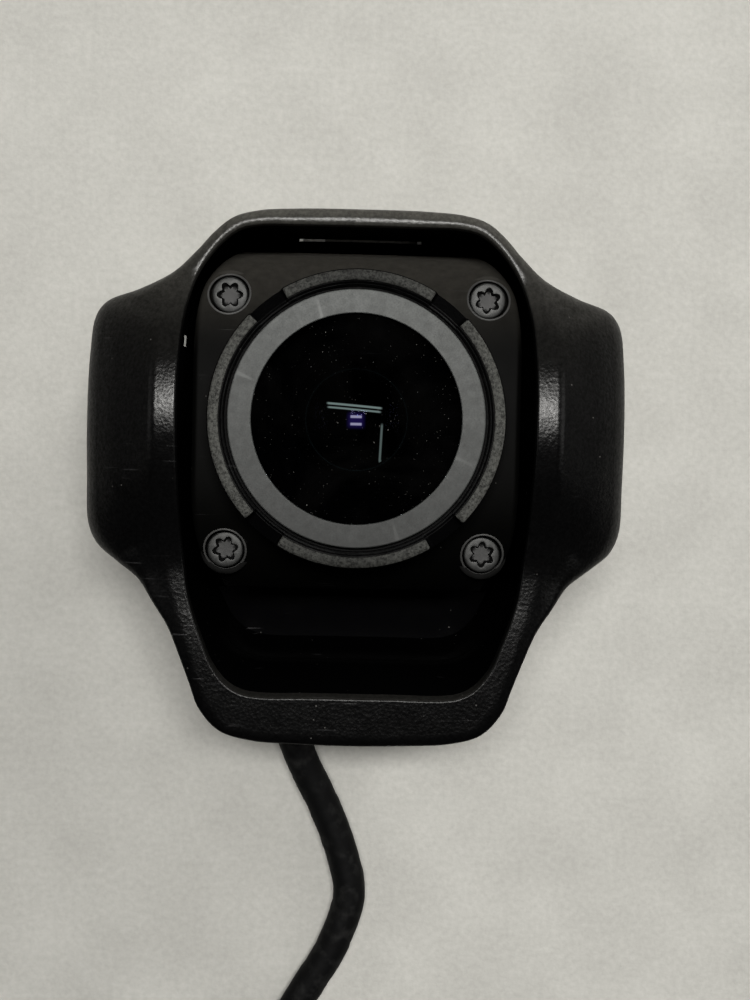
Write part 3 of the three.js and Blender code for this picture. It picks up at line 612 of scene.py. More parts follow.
def painted_lens_reflections(g, front, shader):
    """Glowing painted reflections of two ceiling tubes, a window edge and a violet middle in the
    front lens.
    """
    x, y, z = g.separate(g.node("TexCoord").outputs["Reflection"])
    # where on the dome a far lamp in that direction is mirrored, in mm from its middle
    toward = g.minus(y, 1.0)
    length = g.math("SQRT", g.plus(g.plus(g.math("POWER", x, 2.0), g.math("POWER", z, 2.0)),
                                   g.math("POWER", toward, 2.0)))
    dome_radius = sphere_radius(LENS_RADIUS, LENS_SAG)
    u, w = (g.times(g.math("DIVIDE", value, length), dome_radius) for value in (x, z))

    def band(value, low, high, soft):
        rise = g.map_range(value, low - soft, low + soft, smooth=True)
        fall = g.map_range(value, high - soft, high + soft, smooth=True)
        return g.times(rise, g.minus(1.0, fall))
    tilted = g.plus(w, g.times(u, 0.075))
    tube_1 = g.times(band(tilted, low=2.06, high=2.36, soft=0.08),
                     band(u, low=-4.4, high=3.7, soft=0.25))
    tube_2 = g.times(band(tilted, low=1.50, high=1.76, soft=0.08),
                     band(u, low=-4.3, high=3.55, soft=0.25))
    leaning = g.minus(u, g.times(w, 0.035))
    window = g.times(band(leaning, low=3.70, high=4.02, soft=0.08),
                     band(w, low=-6.2, high=-0.5, soft=0.3))
    bars = g.times(band(u, low=-0.92, high=0.80, soft=0.10),
                   g.plus(band(w, low=0.36, high=0.78, soft=0.08),
                          band(w, low=-0.75, high=-0.35, soft=0.08)))
    halo = g.times(band(u, low=-1.2, high=1.05, soft=0.5), band(w, low=-1.0, high=1.05, soft=0.5))
    # relative strengths of the painted lamp reflections, then of the bars and their halo
    painted_lamp_glow = g.times(front, g.plus(g.plus(tube_1, g.times(tube_2, 0.95)), g.times(window, 0.50)))
    painted_lamp_glow = g.emission((0.78, 1.0, 0.90), g.times(painted_lamp_glow, 0.60))
    middle = g.emission(g.mix(bars, (0.12, 0.07, 0.62), (0.80, 0.75, 1.0)),
                        g.times(front, g.plus(g.times(bars, 0.85), g.times(halo, 0.22))))
    return g.add_shader(shader, g.add_shader(painted_lamp_glow, middle))


def clear_glass(name, tint, coat_tint, fresnel, dust=0.0, painted_reflections=False):
    """Coated optical glass: tinted see-through, coloured faint reflection, fine dust specks."""
    g, co = start(name)
    through = g.node("BsdfTransparent", {"Color": tint}).outputs[0]
    smear = g.noise(co, scale=90.0, detail=4.0, rough=0.6, warp=0.6)
    base_rough, smear_rough = 0.008, 0.03
    gloss = g.node("BsdfGlossy", {
        "Color": coat_tint,
        "Roughness": g.plus(base_rough, g.times(g.ramp(smear, {0.5: 0.0, 0.8: 1.0}), smear_rough)),
        "Normal": g.bump(g.noise(co, scale=25.0, detail=1.0), strength=0.05, distance=0.00002),
    }).outputs[0]
    grazing = g.node("LayerWeight", {"Blend": 0.12}).outputs["Fresnel"]
    front = g.minus(1.0, g.geometry("Backfacing"))
    fac = g.times(front, g.plus(fresnel, g.times(grazing, 0.55)), clamp=True)
    shader = g.mix_shader(fac, through, gloss)
    if dust > 0:
        lint_shader = g.node("BsdfDiffuse", {"Color": (0.35, 0.34, 0.32)}).outputs[0]
        large = g.times(g.ramp(g.voronoi(co, scale=900.0), {0.0: 1.0, 0.07: 0.0}),
                        g.ramp(g.noise(co, scale=330.0, detail=2.0), {0.52: 0.0, 0.58: 1.0}))
        small = g.times(g.ramp(g.voronoi(co, scale=1900.0), {0.0: 1.0, 0.10: 0.0}),
                        g.ramp(g.noise(co, scale=500.0, detail=2.0), {0.50: 0.0, 0.56: 0.40}))
        lint = g.times(g.plus(large, small, clamp=True), dust)
        haze = g.times(g.ramp(smear, {0.45: 0.0, 0.9: 1.0}), 0.006 * dust)
        shader = g.mix_shader(g.plus(lint, haze, clamp=True), shader, lint_shader)
    if painted_reflections:
        shader = painted_lens_reflections(g, front, shader)
    g.surface(shader)


def board(name):
    """Green circuit board with tracks, pads and solder mask."""
    g, co = start(name)
    xyz = g.separate(co)
    flat = g.combine(xyz[0], xyz[2])
    tracks = g.node("TexBrick", {
        "Scale": 420.0, "Mortar Size": 0.03, "Color1": (0.010, 0.075, 0.035),
        "Color2": (0.008, 0.055, 0.028), "Mortar": (0.03, 0.16, 0.07), "Vector": flat}).outputs
    pads = g.ramp(g.voronoi(flat, scale=520.0), {0.0: 1.0, 0.10: 1.0, 0.13: 0.0})
    colour = g.mix(pads, tracks["Color"], (0.55, 0.42, 0.18))
    normal = g.bump(g.plus(tracks["Fac"], g.noise(co, scale=2500.0)),
                    strength=0.4, distance=0.00002)
    # the pads are smoother and metallic
    g.surface(g.principled(colour, g.minus(0.42, g.times(pads, 0.15)), normal,
                           metallic=g.times(pads, 0.8)))


# ------------------------------------------------------------------ materials
# Painted light on the shell: light falling through the top slot onto its back wall, and a glint
# on the left lip of the opening. mm: x from, to, y from, to, z from, to, colour
PAINTED_LIGHT_SPOTS = [
    (-9.7, -9.05, -7.3, -6.7, 27.0, 30.4, (0.85, 0.85, 0.82)),
    (-9.05, -5.6, -7.3, -6.7, 27.0, 30.4, (0.22, 0.22, 0.21)),
    (9.0, 9.7, -7.3, -6.7, 27.0, 30.4, (0.85, 0.85, 0.82)),
    (-25.75, -25.4, -22.5, -20.0, 10.2, 12.0, (0.66, 0.66, 0.63)),
]
# the shell is painted lighter on upward faces and high up, and greyer on its flanks, as light falls
# on it
moulded("grained_black", base=(0.0018, 0.0018, 0.0019), rough=0.30, grain_scale=2000.0,
        grain_depth=0.00006, dust=0.7, wear=0.2, spec=0.30, strength=0.55, mottle=0.4,
        painted_shell_light=dict(colour=(0.068, 0.066, 0.059), low=11.5, high=31.0), painted_light_spots=PAINTED_LIGHT_SPOTS)
# the inner walls carry the same painted light spots
moulded("inner_black", base=(0.0007, 0.0007, 0.0008), rough=0.24, grain_scale=2600.0,
        grain_depth=0.00002, dust=0.8, wear=0.0, spec=0.035, strength=0.3, painted_light_spots=PAINTED_LIGHT_SPOTS)
# the module face is painted lighter towards the top, where light from above falls
moulded("matte_black", base=(0.0012, 0.0012, 0.0011), rough=0.55, grain_scale=3600.0,
        grain_depth=0.000018, dust=0.5, wear=0.35, spec=0.038, strength=0.5,
        painted_top_light=dict(low=10.0, high=26.0, colour=(0.046, 0.0435, 0.038)))
# the collar's ridge gets a painted highlight, strongest at the sides, with thin painted highlight
# lines on two steps
moulded("collar_black", base=(0.0008, 0.0008, 0.0009), rough=0.45, grain_scale=2400.0,
        grain_depth=0.00006, dust=0.5, wear=0.3, spec=0.03, strength=0.8,
        painted_ridge_highlight=dict(front_of=-29.25, colour=(0.072, 0.073, 0.068),
                     edges=[(19.86, 0.05, (0.022, 0.022, 0.022)),
                            (19.44, 0.05, (0.030, 0.031, 0.031))]))
# grey lip round each face screw: a painted highlight on the lit edge of the counterbore
moulded("lip_grey", base=(0.045, 0.045, 0.044), rough=0.5, grain_scale=3000.0,
        grain_depth=0.00003, dust=0.2, wear=0.3, spec=0.3)
moulded("gloss_black", base=(0.0007, 0.0007, 0.0009), rough=0.24, grain_scale=2600.0,
        grain_depth=0.00001, dust=0.8, wear=0.0, spec=0.035, strength=0.3)
moulded("baffle_black", base=(0.0004, 0.0004, 0.0005), rough=0.75, grain_scale=3000.0,
        grain_depth=0.00002, spec=0.03)
rubber("soft_rubber", base=(0.010, 0.0105, 0.0115))
rubber("foam_black", base=(0.012, 0.012, 0.012), rough=0.9, scale=2600.0, depth=0.00012, spec=0.1)
rubber("cable_tape", base=(0.0018, 0.0019, 0.0020), rough=0.6, scale=1500.0, depth=0.00005,
       spec=0.08)
# the trim ring is painted lighter at the top and darker at the bottom, as the light falls
metal("trim_grey", base=(0.0310, 0.0328, 0.0320), rough=0.55, brushed=True, wear=0.25,
      metallic=0.2, spot=0.20, tone=dict(low=-18.6, high=18.6, at_low=0.58, at_high=1.95),
      pitted=0.75)
metal("screw_steel", base=(0.018, 0.0185, 0.018), rough=0.45, wear=0.35, metallic=0.5, spot=0.3,
      pitted=0.5)
# painted shade in the screw recess: a floor darker than the head, and near-black steep walls
metal("recess_painted_shade", base=(0.0085, 0.0085, 0.0085), rough=0.55, wear=0.0, metallic=0.3, spot=0.3,
      walls=(0.0006, 0.0006, 0.0006))
metal("bright_steel", base=(0.42, 0.42, 0.43), rough=0.33)
metal("brass_turned", base=(0.55, 0.38, 0.15), rough=0.30)
metal("gold_pin", base=(0.75, 0.52, 0.20), rough=0.22)
# the barrel carries thin teal rings of painted reflection
metal("anodised_black", base=(0.0005, 0.0006, 0.0006), rough=0.5, brushed=True, wear=0.02,
      painted_reflection_rings=[(8.05, 0.14, (0.012, 0.018, 0.017)), (7.45, 0.1, (0.006, 0.010, 0.010))])
clear_glass("cover_glass", tint=(0.55, 0.56, 0.58), coat_tint=(0.75, 0.85, 0.95), dust=0.9,
            fresnel=0.003)
clear_glass("lens_glass", tint=(0.30, 0.32, 0.38), coat_tint=(0.55, 0.65, 1.0), fresnel=0.012)
# the front lens shows painted reflections of lamps, drawn as glow
clear_glass("lens_glass_front", tint=(0.30, 0.32, 0.38), coat_tint=(0.60, 0.55, 1.0),
            fresnel=0.003, painted_reflections=True)
board("circuit_board")
moulded("chip_black", base=(0.010, 0.010, 0.011), rough=0.45, grain_scale=4200.0,
        grain_depth=0.00001)
moulded("connector_white", base=(0.62, 0.59, 0.52), rough=0.5, grain_scale=3000.0,
        grain_depth=0.00001, wear=0.0)

# ------------------------------------------------------------------ hooded shell
TOP, BOTTOM = 31.1, -48.6              # outer edge, height on the middle line
OPEN_TOP, OPEN_BOTTOM = 28.5, -41.3    # opening, height on the middle line
OPEN_X, EAR_X, EAR_FRONT = 25.9, 40.6, -30.0
FLOOR_RADIUS = 38.6                    # hollow floor, about the tilt axis
CABLE_X, CABLE_Y = -11.5, 17.4         # middle of the lead at its outlet
OUTLET_HALF, OUTLET_FRONT = 4.3, 14.0

# Stations down the +X half of the rim, top to bottom. Columns are x, z, y of the rim's inner
# edge, of the crease at the outer side of its flat, and of the shell's outer edge.
STATIONS = [
    (0, OPEN_TOP, -24.0, 0, TOP - 1.45, -24.15, 0, TOP, -22.5),
    (9, OPEN_TOP - 0.05, -24.0, 9.2, TOP - 1.6, -24.15, 9.4, TOP - 0.1, -22.5),
    (14.6, OPEN_TOP - 0.15, -24.0, 15.0, TOP - 1.85, -24.15, 15.3, TOP - 0.55, -22.5),
    (17.6, 27.7, -24.0, 18.1, 28.5, -24.1, 18.8, 29.5, -22.5),
    (20.0, 26.0, -23.95, 20.7, 26.6, -24.0, 21.5, 27.4, -22.2),
    (22.1, 23.6, -23.95, 23.0, 24.0, -23.95, 24.0, 24.7, -21.8),
    (23.9, 20.6, -24.2, 25.7, 20.6, -24.1, 27.6, 21.4, -21.2),
    (25.0, 17.0, -25.4, 27.9, 16.9, -25.2, 32.6, 19.0, -20.2),
    (25.6, 13.0, -27.0, 29.1, 12.9, -27.1, 38.1, 17.2, -18.0),
    (25.8, 9.2, -28.55, 29.4, 9.2, -28.5, 39.85, 15.0, -17.4),
    (OPEN_X, 4.8, -29.6, 29.5, 4.8, -29.55, EAR_X - 0.15, 9.4, -18.4),
    (OPEN_X, 0, EAR_FRONT, 29.5, 0, EAR_FRONT, EAR_X, 0, -19.4),
    (OPEN_X, -4.8, -29.6, 29.5, -4.8, -29.55, EAR_X + 0.05, -9.4, -18.4),
    (25.8, -9.4, -28.5, 29.4, -9.4, -28.4, EAR_X - 0.05, -16.3, -17.4),
    (25.7, -13.6, -26.8, 29.2, -13.4, -26.8, 39.2, -19.3, -17.8),
    (25.5, -17.6, -25.1, 28.8, -17.6, -25.1, 35.8, -21.9, -19.6),
    (25.1, -21.6, -24.0, 28.0, -21.8, -24.0, 32.2, -24.4, -21.2),
    (24.5, -25.8, -23.8, 26.8, -26.6, -23.8, 29.9, -27.6, -22.3),
    (23.5, -29.6, -23.8, 25.5, -31.0, -23.8, 27.5, -31.2, -22.7),
    (22.2, -33.2, -23.8, 24.2, -35.2, -23.8, 25.7, -35.4, -22.9),
    (20.7, -36.8, -23.8, 22.9, -39.2, -23.8, 24.0, -39.8, -22.9),
    (18.7, -39.4, -23.8, 21.4, -42.7, -23.8, 22.7, -43.2, -22.9),
    (16.2, -40.9, -23.8, 18.6, -46.0, -23.8, 19.6, -46.6, -22.9),
    (13.0, OPEN_BOTTOM - 0.05, -23.8, 14.6, BOTTOM + 1.6, -23.8, 15.0, BOTTOM + 0.6, -22.9),
    (6.8, OPEN_BOTTOM, -23.8, 7.2, BOTTOM + 1.15, -23.8, 7.4, BOTTOM + 0.15, -22.9),
    (0, OPEN_BOTTOM, -23.8, 0, BOTTOM + 1.0, -23.8, 0, BOTTOM, -22.9),
]
ALL_ROUND = mirrored(STATIONS, x_columns=(0, 3, 6))
DENSE = catmull(ALL_ROUND, 7, key=[(k[6], k[8], k[7]) for k in ALL_ROUND])


def inner_wall(edge_x, edge_z, y, widen=True):
    """Point of the inner wall at depth y, behind a point of the opening's edge."""
    x, z = abs(edge_x), edge_z
    if widen and -29 < z < 18:  # straight sides
        near = smooth01((18 - z) / 3.0) * smooth01((z + 29) / 3.0)
        x = max(x, lerp(x, 25.6, near))
    if widen and z >= 15:  # top corners
        near = smooth01((z - 15.5) / 3.0) * smooth01((x - 15.2) / 2.6)
        x += 0.75 * near
        z += 0.45 * near
    floor_from = -21.6
    if z < floor_from:
        if y > -8:
            floor_z = -math.sqrt(FLOOR_RADIUS ** 2 - min(y, 14) ** 2)
        else:
            floor_z = lerp(OPEN_BOTTOM, -37.8, (y + 23.8) / 15.8)
        z = floor_from + (z - floor_from) * ((floor_z - floor_from) / (OPEN_BOTTOM - floor_from))
    return (math.copysign(x, edge_x) if edge_x else 0.0, y, z)


def shell_section(key):
    """Closed section of the shell: forward along the inner wall, over the rim, and back."""
    edge_x, edge_z, edge_y, crease_x, crease_z, crease_y, outer_x, outer_z, outer_y = key
    ear = max(0.0, min(1.0, (abs(outer_x - crease_x) - 2.5) / 5))

    def shoulder(across, depth):
        return (lerp(crease_x, outer_x, across), lerp(crease_y, outer_y, depth),
                lerp(crease_z, outer_z, across))
    inner = [inner_wall(edge_x, edge_z, y)
             for y in (SHELL_BACK, 16.0, 12.0, 8.0, 4.0, 0.0, -4.0, -8.0, -11.0, -14.0, -17.5)]
    behind_edge = edge_y + 3.0
    outer = (outer_x, outer_y, outer_z)
    waist = (outer_x * 0.995, 2.0, outer_z * 0.997)
    back = (outer_x * 0.98, SHELL_BACK, outer_z * 0.988)
    rounded = [  # point, corner radius
        ((edge_x, behind_edge, inner_wall(edge_x, edge_z, behind_edge, widen=False)[2]), 1.2),
        ((edge_x, edge_y, edge_z), 0.42),
        ((crease_x, crease_y, crease_z), 0.75),
        (shoulder(lerp(0.70, 0.60, ear), lerp(0.30, 0.50, ear)), 1.6),
        (shoulder(lerp(0.92, 0.90, ear), lerp(0.62, 0.78, ear)), 1.6),
        (outer, 1.7),
        (lerp_point(outer, waist, 0.3), 0.0),
        (lerp_point(outer, waist, 0.62), 0.0),
        (waist, 3.0),
        (lerp_point(waist, back, 0.25), 0.0),
        (lerp_point(waist, back, 0.5), 0.0),
        (lerp_point(waist, back, 0.75), 0.0),
        (back, 0.35),
    ]
    points = inner + [point for point, _ in rounded]
    radii = [0.0] * len(inner) + [radius for _, radius in rounded]
    out = []
    for i, radius in enumerate(radii):
        if radius > 0:
            out += corner(points, i, radius, steps=5, limit=0.47)
        else:
            out.append(points[i])
    return out


sections = [shell_section(key) for key in DENSE]
shell = housing_piece("hooded_shell", rings([list(row) for row in zip(*sections)], closed_rows=True),
                      "grained_black", "grained_black_plastic", "housing_shell", sharp=40,
                      second=("inner_black", 0, 16 * len(sections)))
EAR_CAVITY = [(28.2, 12.5), (28.2, -14.0), (36.6, -14.0), (37.6, -10), (37.6, 9), (36.0, 12.5)]
cut(shell, [
    rod("x", 3.4, 25.0, 34.0, 0, 0, 40),    # holes on the tilt axis
    rod("x", 3.4, -34.0, -25.0, 0, 0, 40),
    slab(EAR_CAVITY, -12.5, SHELL_BACK + 2),
    slab([(-x, z) for x, z in EAR_CAVITY], -12.5, SHELL_BACK + 2),
    box(-9.6, 9.6, -9.4, -7.0, OPEN_TOP - 3, TOP + 3),  # slot across the top
    box(CABLE_X - OUTLET_HALF, CABLE_X + OUTLET_HALF, OUTLET_FRONT, SHELL_BACK + 2,
        BOTTOM - 2, -33.0),
])

# rib across the back of the floor, in front of the lead
RIB = [(-24.6, -28.4), (24.6, -28.4), (23.4, -33.0), (22.3, -36.0), (21.2, -38.5),
       (-21.2, -38.5), (-22.3, -36.0), (-23.4, -33.0)]
housing_piece("floor_rib", slab(RIB, 12.4, 13.7), "gloss_black", "grained_black_plastic", sharp=35)

# ------------------------------------------------------------------ rear cover and pad
REAR_SCREWS = [(31.0, 14.9), (-31.0, 14.9), (18.2, -42.0), (-18.2, -42.0)]
INSERT_X = 15
cover_outline = [(k[6] * 0.965, k[7] * 0.972) for k in DENSE]
pad_outline = [(x * 0.95, z * 0.955) for x, z in cover_outline]


def moved_in(outline, inset):
    """Outline moved inwards by roughly inset mm; it runs clockwise seen from the front."""
    n = len(outline)
    out = []
    for i, (x, z) in enumerate(outline):
        along = (Vector(outline[(i + 2) % n]) - Vector(outline[i - 2])).normalized()
        out.append((x + along.y * inset, z - along.x * inset))
    return out


def rounded_plate(outline, y0, y1, radius):
    """Plate with a smaller rounding on its front edge than on its back edge."""
    levels = [(y0, 3.0)]  # y, inset
    for k in range(5):
        a = k / 4 * math.pi / 2
        levels.append((y0 + radius * 0.5 * (1 - math.cos(a)), radius * 0.5 * (1 - math.sin(a))))
    for k in range(7):
        a = k / 6 * math.pi / 2
        levels.append((y1 - radius * (1 - math.sin(a)), radius * (1 - math.cos(a))))
    levels.append((y1, 3.0))
    return rings([[(x, y, z) for x, z in moved_in(outline, inset)] for y, inset in levels])


cover = housing_piece("rear_cover",
                      rounded_plate(cover_outline, SHELL_BACK + GAP, PLATE_BACK, 0.7),
                      "matte_black", "matte_black_plastic", "rear_plate", sharp=40)
holes = []
for x, z in REAR_SCREWS:
    holes.append(rod("y", 1.7, SHELL_BACK - 1, PLATE_BACK + 1, x, z, 32))
    holes.append(rod("y", 3.2, PLATE_BACK - 1.5, PLATE_BACK + 1, x, z))
for side in (-1, 1):
    holes.append(rod("y", 3.3, PLATE_BACK - 2.2, PLATE_BACK + 1, INSERT_X * side, 0))
cut(cover, holes)

pad = housing_piece("foam_mounting_pad",
                    rounded_plate(pad_outline, PLATE_BACK + 0.05, PAD_BACK, 0.35),
                    "foam_black", "black_rubber", "mounting_pad", sharp=40)
cut(pad, [rod("y", 4.2, PLATE_BACK - 1, PAD_BACK + 1, INSERT_X * side, 0) for side in (-1, 1)]
    + [rod("y", 3.6, PLATE_BACK - 1, PAD_BACK + 1, x, z) for x, z in REAR_SCREWS])


# ------------------------------------------------------------------ screws and inserts
def screw(piece, name, x, z, y_face, y_seat, head, recess, turn, depth, shank, shank_end, mat,
          node, facing, segs):
    """Pan-head screw with a six-lobed recess. facing -1: head looks to -Y, +1: to +Y."""

    def ring(y, radius_at):
        loop = []
        for i in range(segs):
            a = 2 * math.pi * i / segs
            loop.append((x + radius_at(a) * math.sin(a), y, z + radius_at(a) * math.cos(a)))
        return loop

    def disc(y, radius):
        return ring(y, lambda a: radius)

    def star(down, scale=1.0, grow=0.0):
        """Lobed ring at a distance below the face."""
        def radius_at(a):
            lobes = 0.5 + 0.5 * math.cos(6 * (a - turn))
            return recess * scale * (0.68 + 0.32 * lobes ** 0.72) + grow
        return ring(y_face - facing * down, radius_at)
    loops = [disc(shank_end, shank * 0.7), disc(shank_end + facing * 0.4, shank),
             disc(y_seat, shank), disc(y_seat, head - 0.15),
             disc(y_seat + facing * 0.15, head), disc(y_face - facing * 0.55, head)]
    for k in range(1, 7):
        a = k / 6 * math.pi / 2
        loops.append(disc(y_face - facing * 0.55 + facing * 0.50 * math.sin(a),
                          head - 0.22 * (1 - math.cos(a))))
    loops += [disc(y_face - facing * 0.03, head - 0.30),
              star(0.0, grow=0.14), star(0.01, grow=0.05), star(0.10),
              star(depth - 0.08, scale=0.80), star(depth, scale=0.76),
              star(depth + 0.01, scale=0.5)]
    verts, faces = rings(loops, centre=((x, shank_end, z), (x, y_face - facing * (depth + 0.02), z)))
    # the caps come last: move the shank's forward, so the recess faces are together at the end
    quads = (len(loops) - 1) * segs
    recess_from = (len(loops) - 4) * segs
    faces = (faces[:recess_from] + faces[quads:quads + segs] + faces[recess_from:quads]
             + faces[quads + segs:])
    piece(name, (verts, faces), mat, "dark_steel", node, sharp=50,
          second=("recess_painted_shade", recess_from + segs, len(faces)))


for i, (x, z) in enumerate(REAR_SCREWS):
    screw(housing_piece, "rear_screw_head_%d" % (i + 1), x, z, y_face=PLATE_BACK - 0.1,
          y_seat=PLATE_BACK - 1.2, head=2.7, recess=1.3, turn=0.3 * i, depth=0.75, shank=1.15,
          shank_end=12.0, mat="bright_steel", node="rear_screw_%d" % (i + 1), facing=1, segs=72)
for i, side in ((1, -1), (2, 1)):
    profile = round_profile([(1.65, PLATE_BACK - 1.9), (3.0, PLATE_BACK - 1.9), (3.0, PLATE_BACK),
                             (1.65, PLATE_BACK)], 0.18, steps=3)
    housing_piece("threaded_insert_%d" % i, lathe_closed(profile, 64, INSERT_X * side, 0),
                  "brass_turned", "brass", "mount_insert_%d" % i, sharp=40)

# ------------------------------------------------------------------ camera module: face
FACE_Z, FACE_DEPTH, FACE_POWER = 27.0, 22.6, 2.7  # superellipse of the face, seen from the side
SPLIT = -5.0                                      # joint between face and rear shell
OUTLINE_X, OUTLINE_Z = 24.4, 27.4
FACE_SCREWS = [  # x, z, name, turn of the recess
    (-19.5, 18.6, "upper_left", 0.50), (19.5, 18.6, "upper_right", 0.12),
    (-19.5, -19.9, "lower_left", 0.32), (19.5, -19.9, "lower_right", 0.05)]
# x, z of a quarter of the module's outline
QUARTER = [(0, OUTLINE_Z), (7.5, OUTLINE_Z), (14.5, 27.3), (17.6, 26.6), (20.0, 25.0),
           (22.0, 22.6), (23.4, 19.8), (24.1, 16.4), (OUTLINE_X, 12.0), (OUTLINE_X, 6.0)]


def face_y(z):
    t = min(1.0, abs(z) / FACE_Z)
    return -FACE_DEPTH * max(0.0, 1 - t ** FACE_POWER) ** (1 / FACE_POWER)


split_z = FACE_Z * (1 - (abs(SPLIT) / FACE_DEPTH) ** FACE_POWER) ** (1 / FACE_POWER)
half_outline = QUARTER + [(OUTLINE_X, 0.0)] + [(x, -z) for x, z in reversed(QUARTER)]
OUTLINE = [(x, max(-split_z, min(split_z, z)))
           for x, z in catmull(mirrored(half_outline, x_columns=(0,)), 6)]


def outline_inset(d):
    return [(x * (1 - d / OUTLINE_X), z * (1 - d / OUTLINE_Z)) for x, z in OUTLINE]


def circle_on_outline(radius):
    """Circle with a point in the direction of each outline point."""
    angles = [math.atan2(x, z) for x, z in OUTLINE]
    return [(radius * math.sin(a), radius * math.cos(a)) for a in angles]


def face_row(t, opening):
    """Row of the face, from the lens opening (t=0) to the outline (t=1)."""
    edge_radius = 0.9
    row = []
    for (open_x, open_z), (out_x, out_z) in zip(opening, OUTLINE):
        x, z = lerp(open_x, out_x, t), lerp(open_z, out_z, t)
        y = face_y(z)
        to_edge = math.hypot(out_x - x, out_z - z)
        if to_edge < edge_radius:  # rounded only along the sides
            drop = edge_radius - math.sqrt(
                max(0.0, edge_radius * edge_radius - (edge_radius - to_edge) ** 2))
            y += drop * smooth01((abs(x) - 18) / 5.0)
        row.append((x, min(y, SPLIT), z))
    return row


opening = circle_on_outline(21.3)
opening_back = circle_on_outline(18.9)
loops = [face_row(math.sin(k / 21 * math.pi / 2), opening) for k in range(22)]
edge_row = loops[-1]
for t in (0.15, 0.4, 0.7, 1.0):
    loops.append([(x, lerp(y, SPLIT, t), z) for x, y, z in edge_row])
loops.append([(x, SPLIT, z) for x, z in outline_inset(0.15)])
loops.append([(x, SPLIT, z) for x, z in outline_inset(2.4)])
loops.append([(x, min(SPLIT, face_y(z) + 3.4), z) for x, z in outline_inset(2.5)])
halfway = [lerp_point(a, b, 0.5) for a, b in zip(opening, outline_inset(2.6))]
loops.append([(x, min(SPLIT, face_y(z) + 2.6), z) for x, z in halfway])
loops.append([(x, min(face_y(z) + 2.4, -14.5), z) for x, z in opening_back])
loops.append([(x, -19.0, z) for x, z in opening_back])
face = module_piece("module_face", rings(loops, closed_rows=True), "matte_black",
                    "matte_black_plastic", "module_front", sharp=40)
holes = []
for x, z, _, _ in FACE_SCREWS:
    holes.append(rod("y", 3.04, -32, -15.6, x, z, 72))
    holes.append(rod("y", 1.8, -32, 0.0, x, z, 32))
cut(face, holes)


def bead(x, z, ring_radius, radius, segs=96, sides=12):
    """A fine raised lip that follows the sloping face round a screw."""
    rows = []
    for i in range(segs):
        a = 2 * math.pi * i / segs
        y = max(-20.9, min(-16.4, face_y(z + ring_radius * math.cos(a)))) + 0.02
        row = []
        for k in range(sides):
            b = 2 * math.pi * k / sides
            r = ring_radius + radius * math.cos(b)
            row.append((x + r * math.sin(a), y + radius * 0.8 * math.sin(b), z + r * math.cos(a)))
        rows.append(row)
    return rings(rows, closed_rows=True)


# wall and floor of a screw's counterbore, behind the face: radius, y
WELL = round_profile([(1.8, -15.6), (3.05, -15.6), (3.05, -16.6), (3.9, -16.6), (3.9, -5.05),
                      (1.8, -5.05)], [0, 0.1, 0.2, 0.2, 0.2, 0], steps=2)
for x, z, name, turn in FACE_SCREWS:
    module_piece("screw_well_" + name, lathe_closed(WELL, 48, x, z), "matte_black",
                 "matte_black_plastic", "module_front", sharp=40)
    # the lip's grey is a painted highlight on the counterbore's lit edge
    module_piece("screw_lip_" + name, bead(x, z, ring_radius=3.16, radius=0.16), "lip_grey",
                 "matte_black_plastic", "module_front", sharp=60)
    screw(module_piece, "face_screw_head_" + name, x, z, y_face=-17.9, y_seat=-15.7, head=2.75,
          recess=1.96, turn=turn, depth=1.2, shank=1.1, shank_end=0.6, mat="screw_steel",
          node="face_screw_" + name, facing=-1, segs=96)

# ------------------------------------------------------------------ camera module: collar
# Ridge round the lens opening: radius, y, corner radius
COLLAR = [
    (19.2, -27.4, 0.05), (19.2, -28.0, 0.08), (19.42, -28.05, 0.05), (19.42, -28.5, 0.08),
    (19.66, -28.55, 0.05), (19.66, -28.95, 0.08), (19.9, -29.0, 0.06), (19.95, -29.42, 0.12),
    (20.6, -29.5, 0.5), (21.25, -29.42, 0.2), (21.6, -29.1, 0.2), (21.6, -16.0, 0.2),
    (18.8, -16.0, 0.2), (18.8, -25.0, 0.1), (15.6, -25.0, 0.1), (15.6, -27.0, 0.1),
    (18.75, -27.0, 0.1), (18.75, -27.4, 0.1)]
NOTCHES = [math.radians(a) for a in (39, 141, 219, 321)]
NOTCH_HALF, NOTCH_RAMP = 2.6, 0.55  # along the ridge, measured at radius 21.2


def lens_collar():
    """The ridge with its four notches."""
    profile = round_profile([p[:2] for p in COLLAR], [p[2] for p in COLLAR], steps=3)
    segs = 720
    rows = []
    for i in range(segs):
        a = 2 * math.pi * i / segs
        depth = 0.0
        for notch in NOTCHES:
            away = abs((a - notch + math.pi) % (2 * math.pi) - math.pi) * 21.2
            depth = max(depth, 1 - smooth01((away - NOTCH_HALF + 0.10) / NOTCH_RAMP))
        row = []
        for r, y in profile:
            if y < -27.9 and r > 19.3:
                y = lerp(y, max(y, -28.05 + 0.42 * (r - 19.3)), depth)
            row.append((r * math.sin(a), y, r * math.cos(a)))
        rows.append(row)
    return rings(rows, closed_rows=True)


module_piece("lens_collar", lens_collar(), "collar_black", "matte_black_plastic", "module_front")


# ------------------------------------------------------------------ camera module: rear shell
def rear_at(y, inset):
    """Module outline at depth y, held inside the side profile of the rear shell."""
    if y <= 0:
        top = lerp(26.55, 27.0, (y - SPLIT - GAP) / (-SPLIT - GAP))
        bottom = -top
    else:
        top = lerp(27.0, 26.6, y / 4.6) if y < 4.6 else lerp(26.6, 16.0, (y - 4.6) / 6.4)
        bottom = -27.0 if y < 0.5 else lerp(-27.0, -16.0, (y - 0.5) / 10.5)
    return [(x, y, max(bottom + inset, min(top - inset, z))) for x, z in outline_inset(inset)]


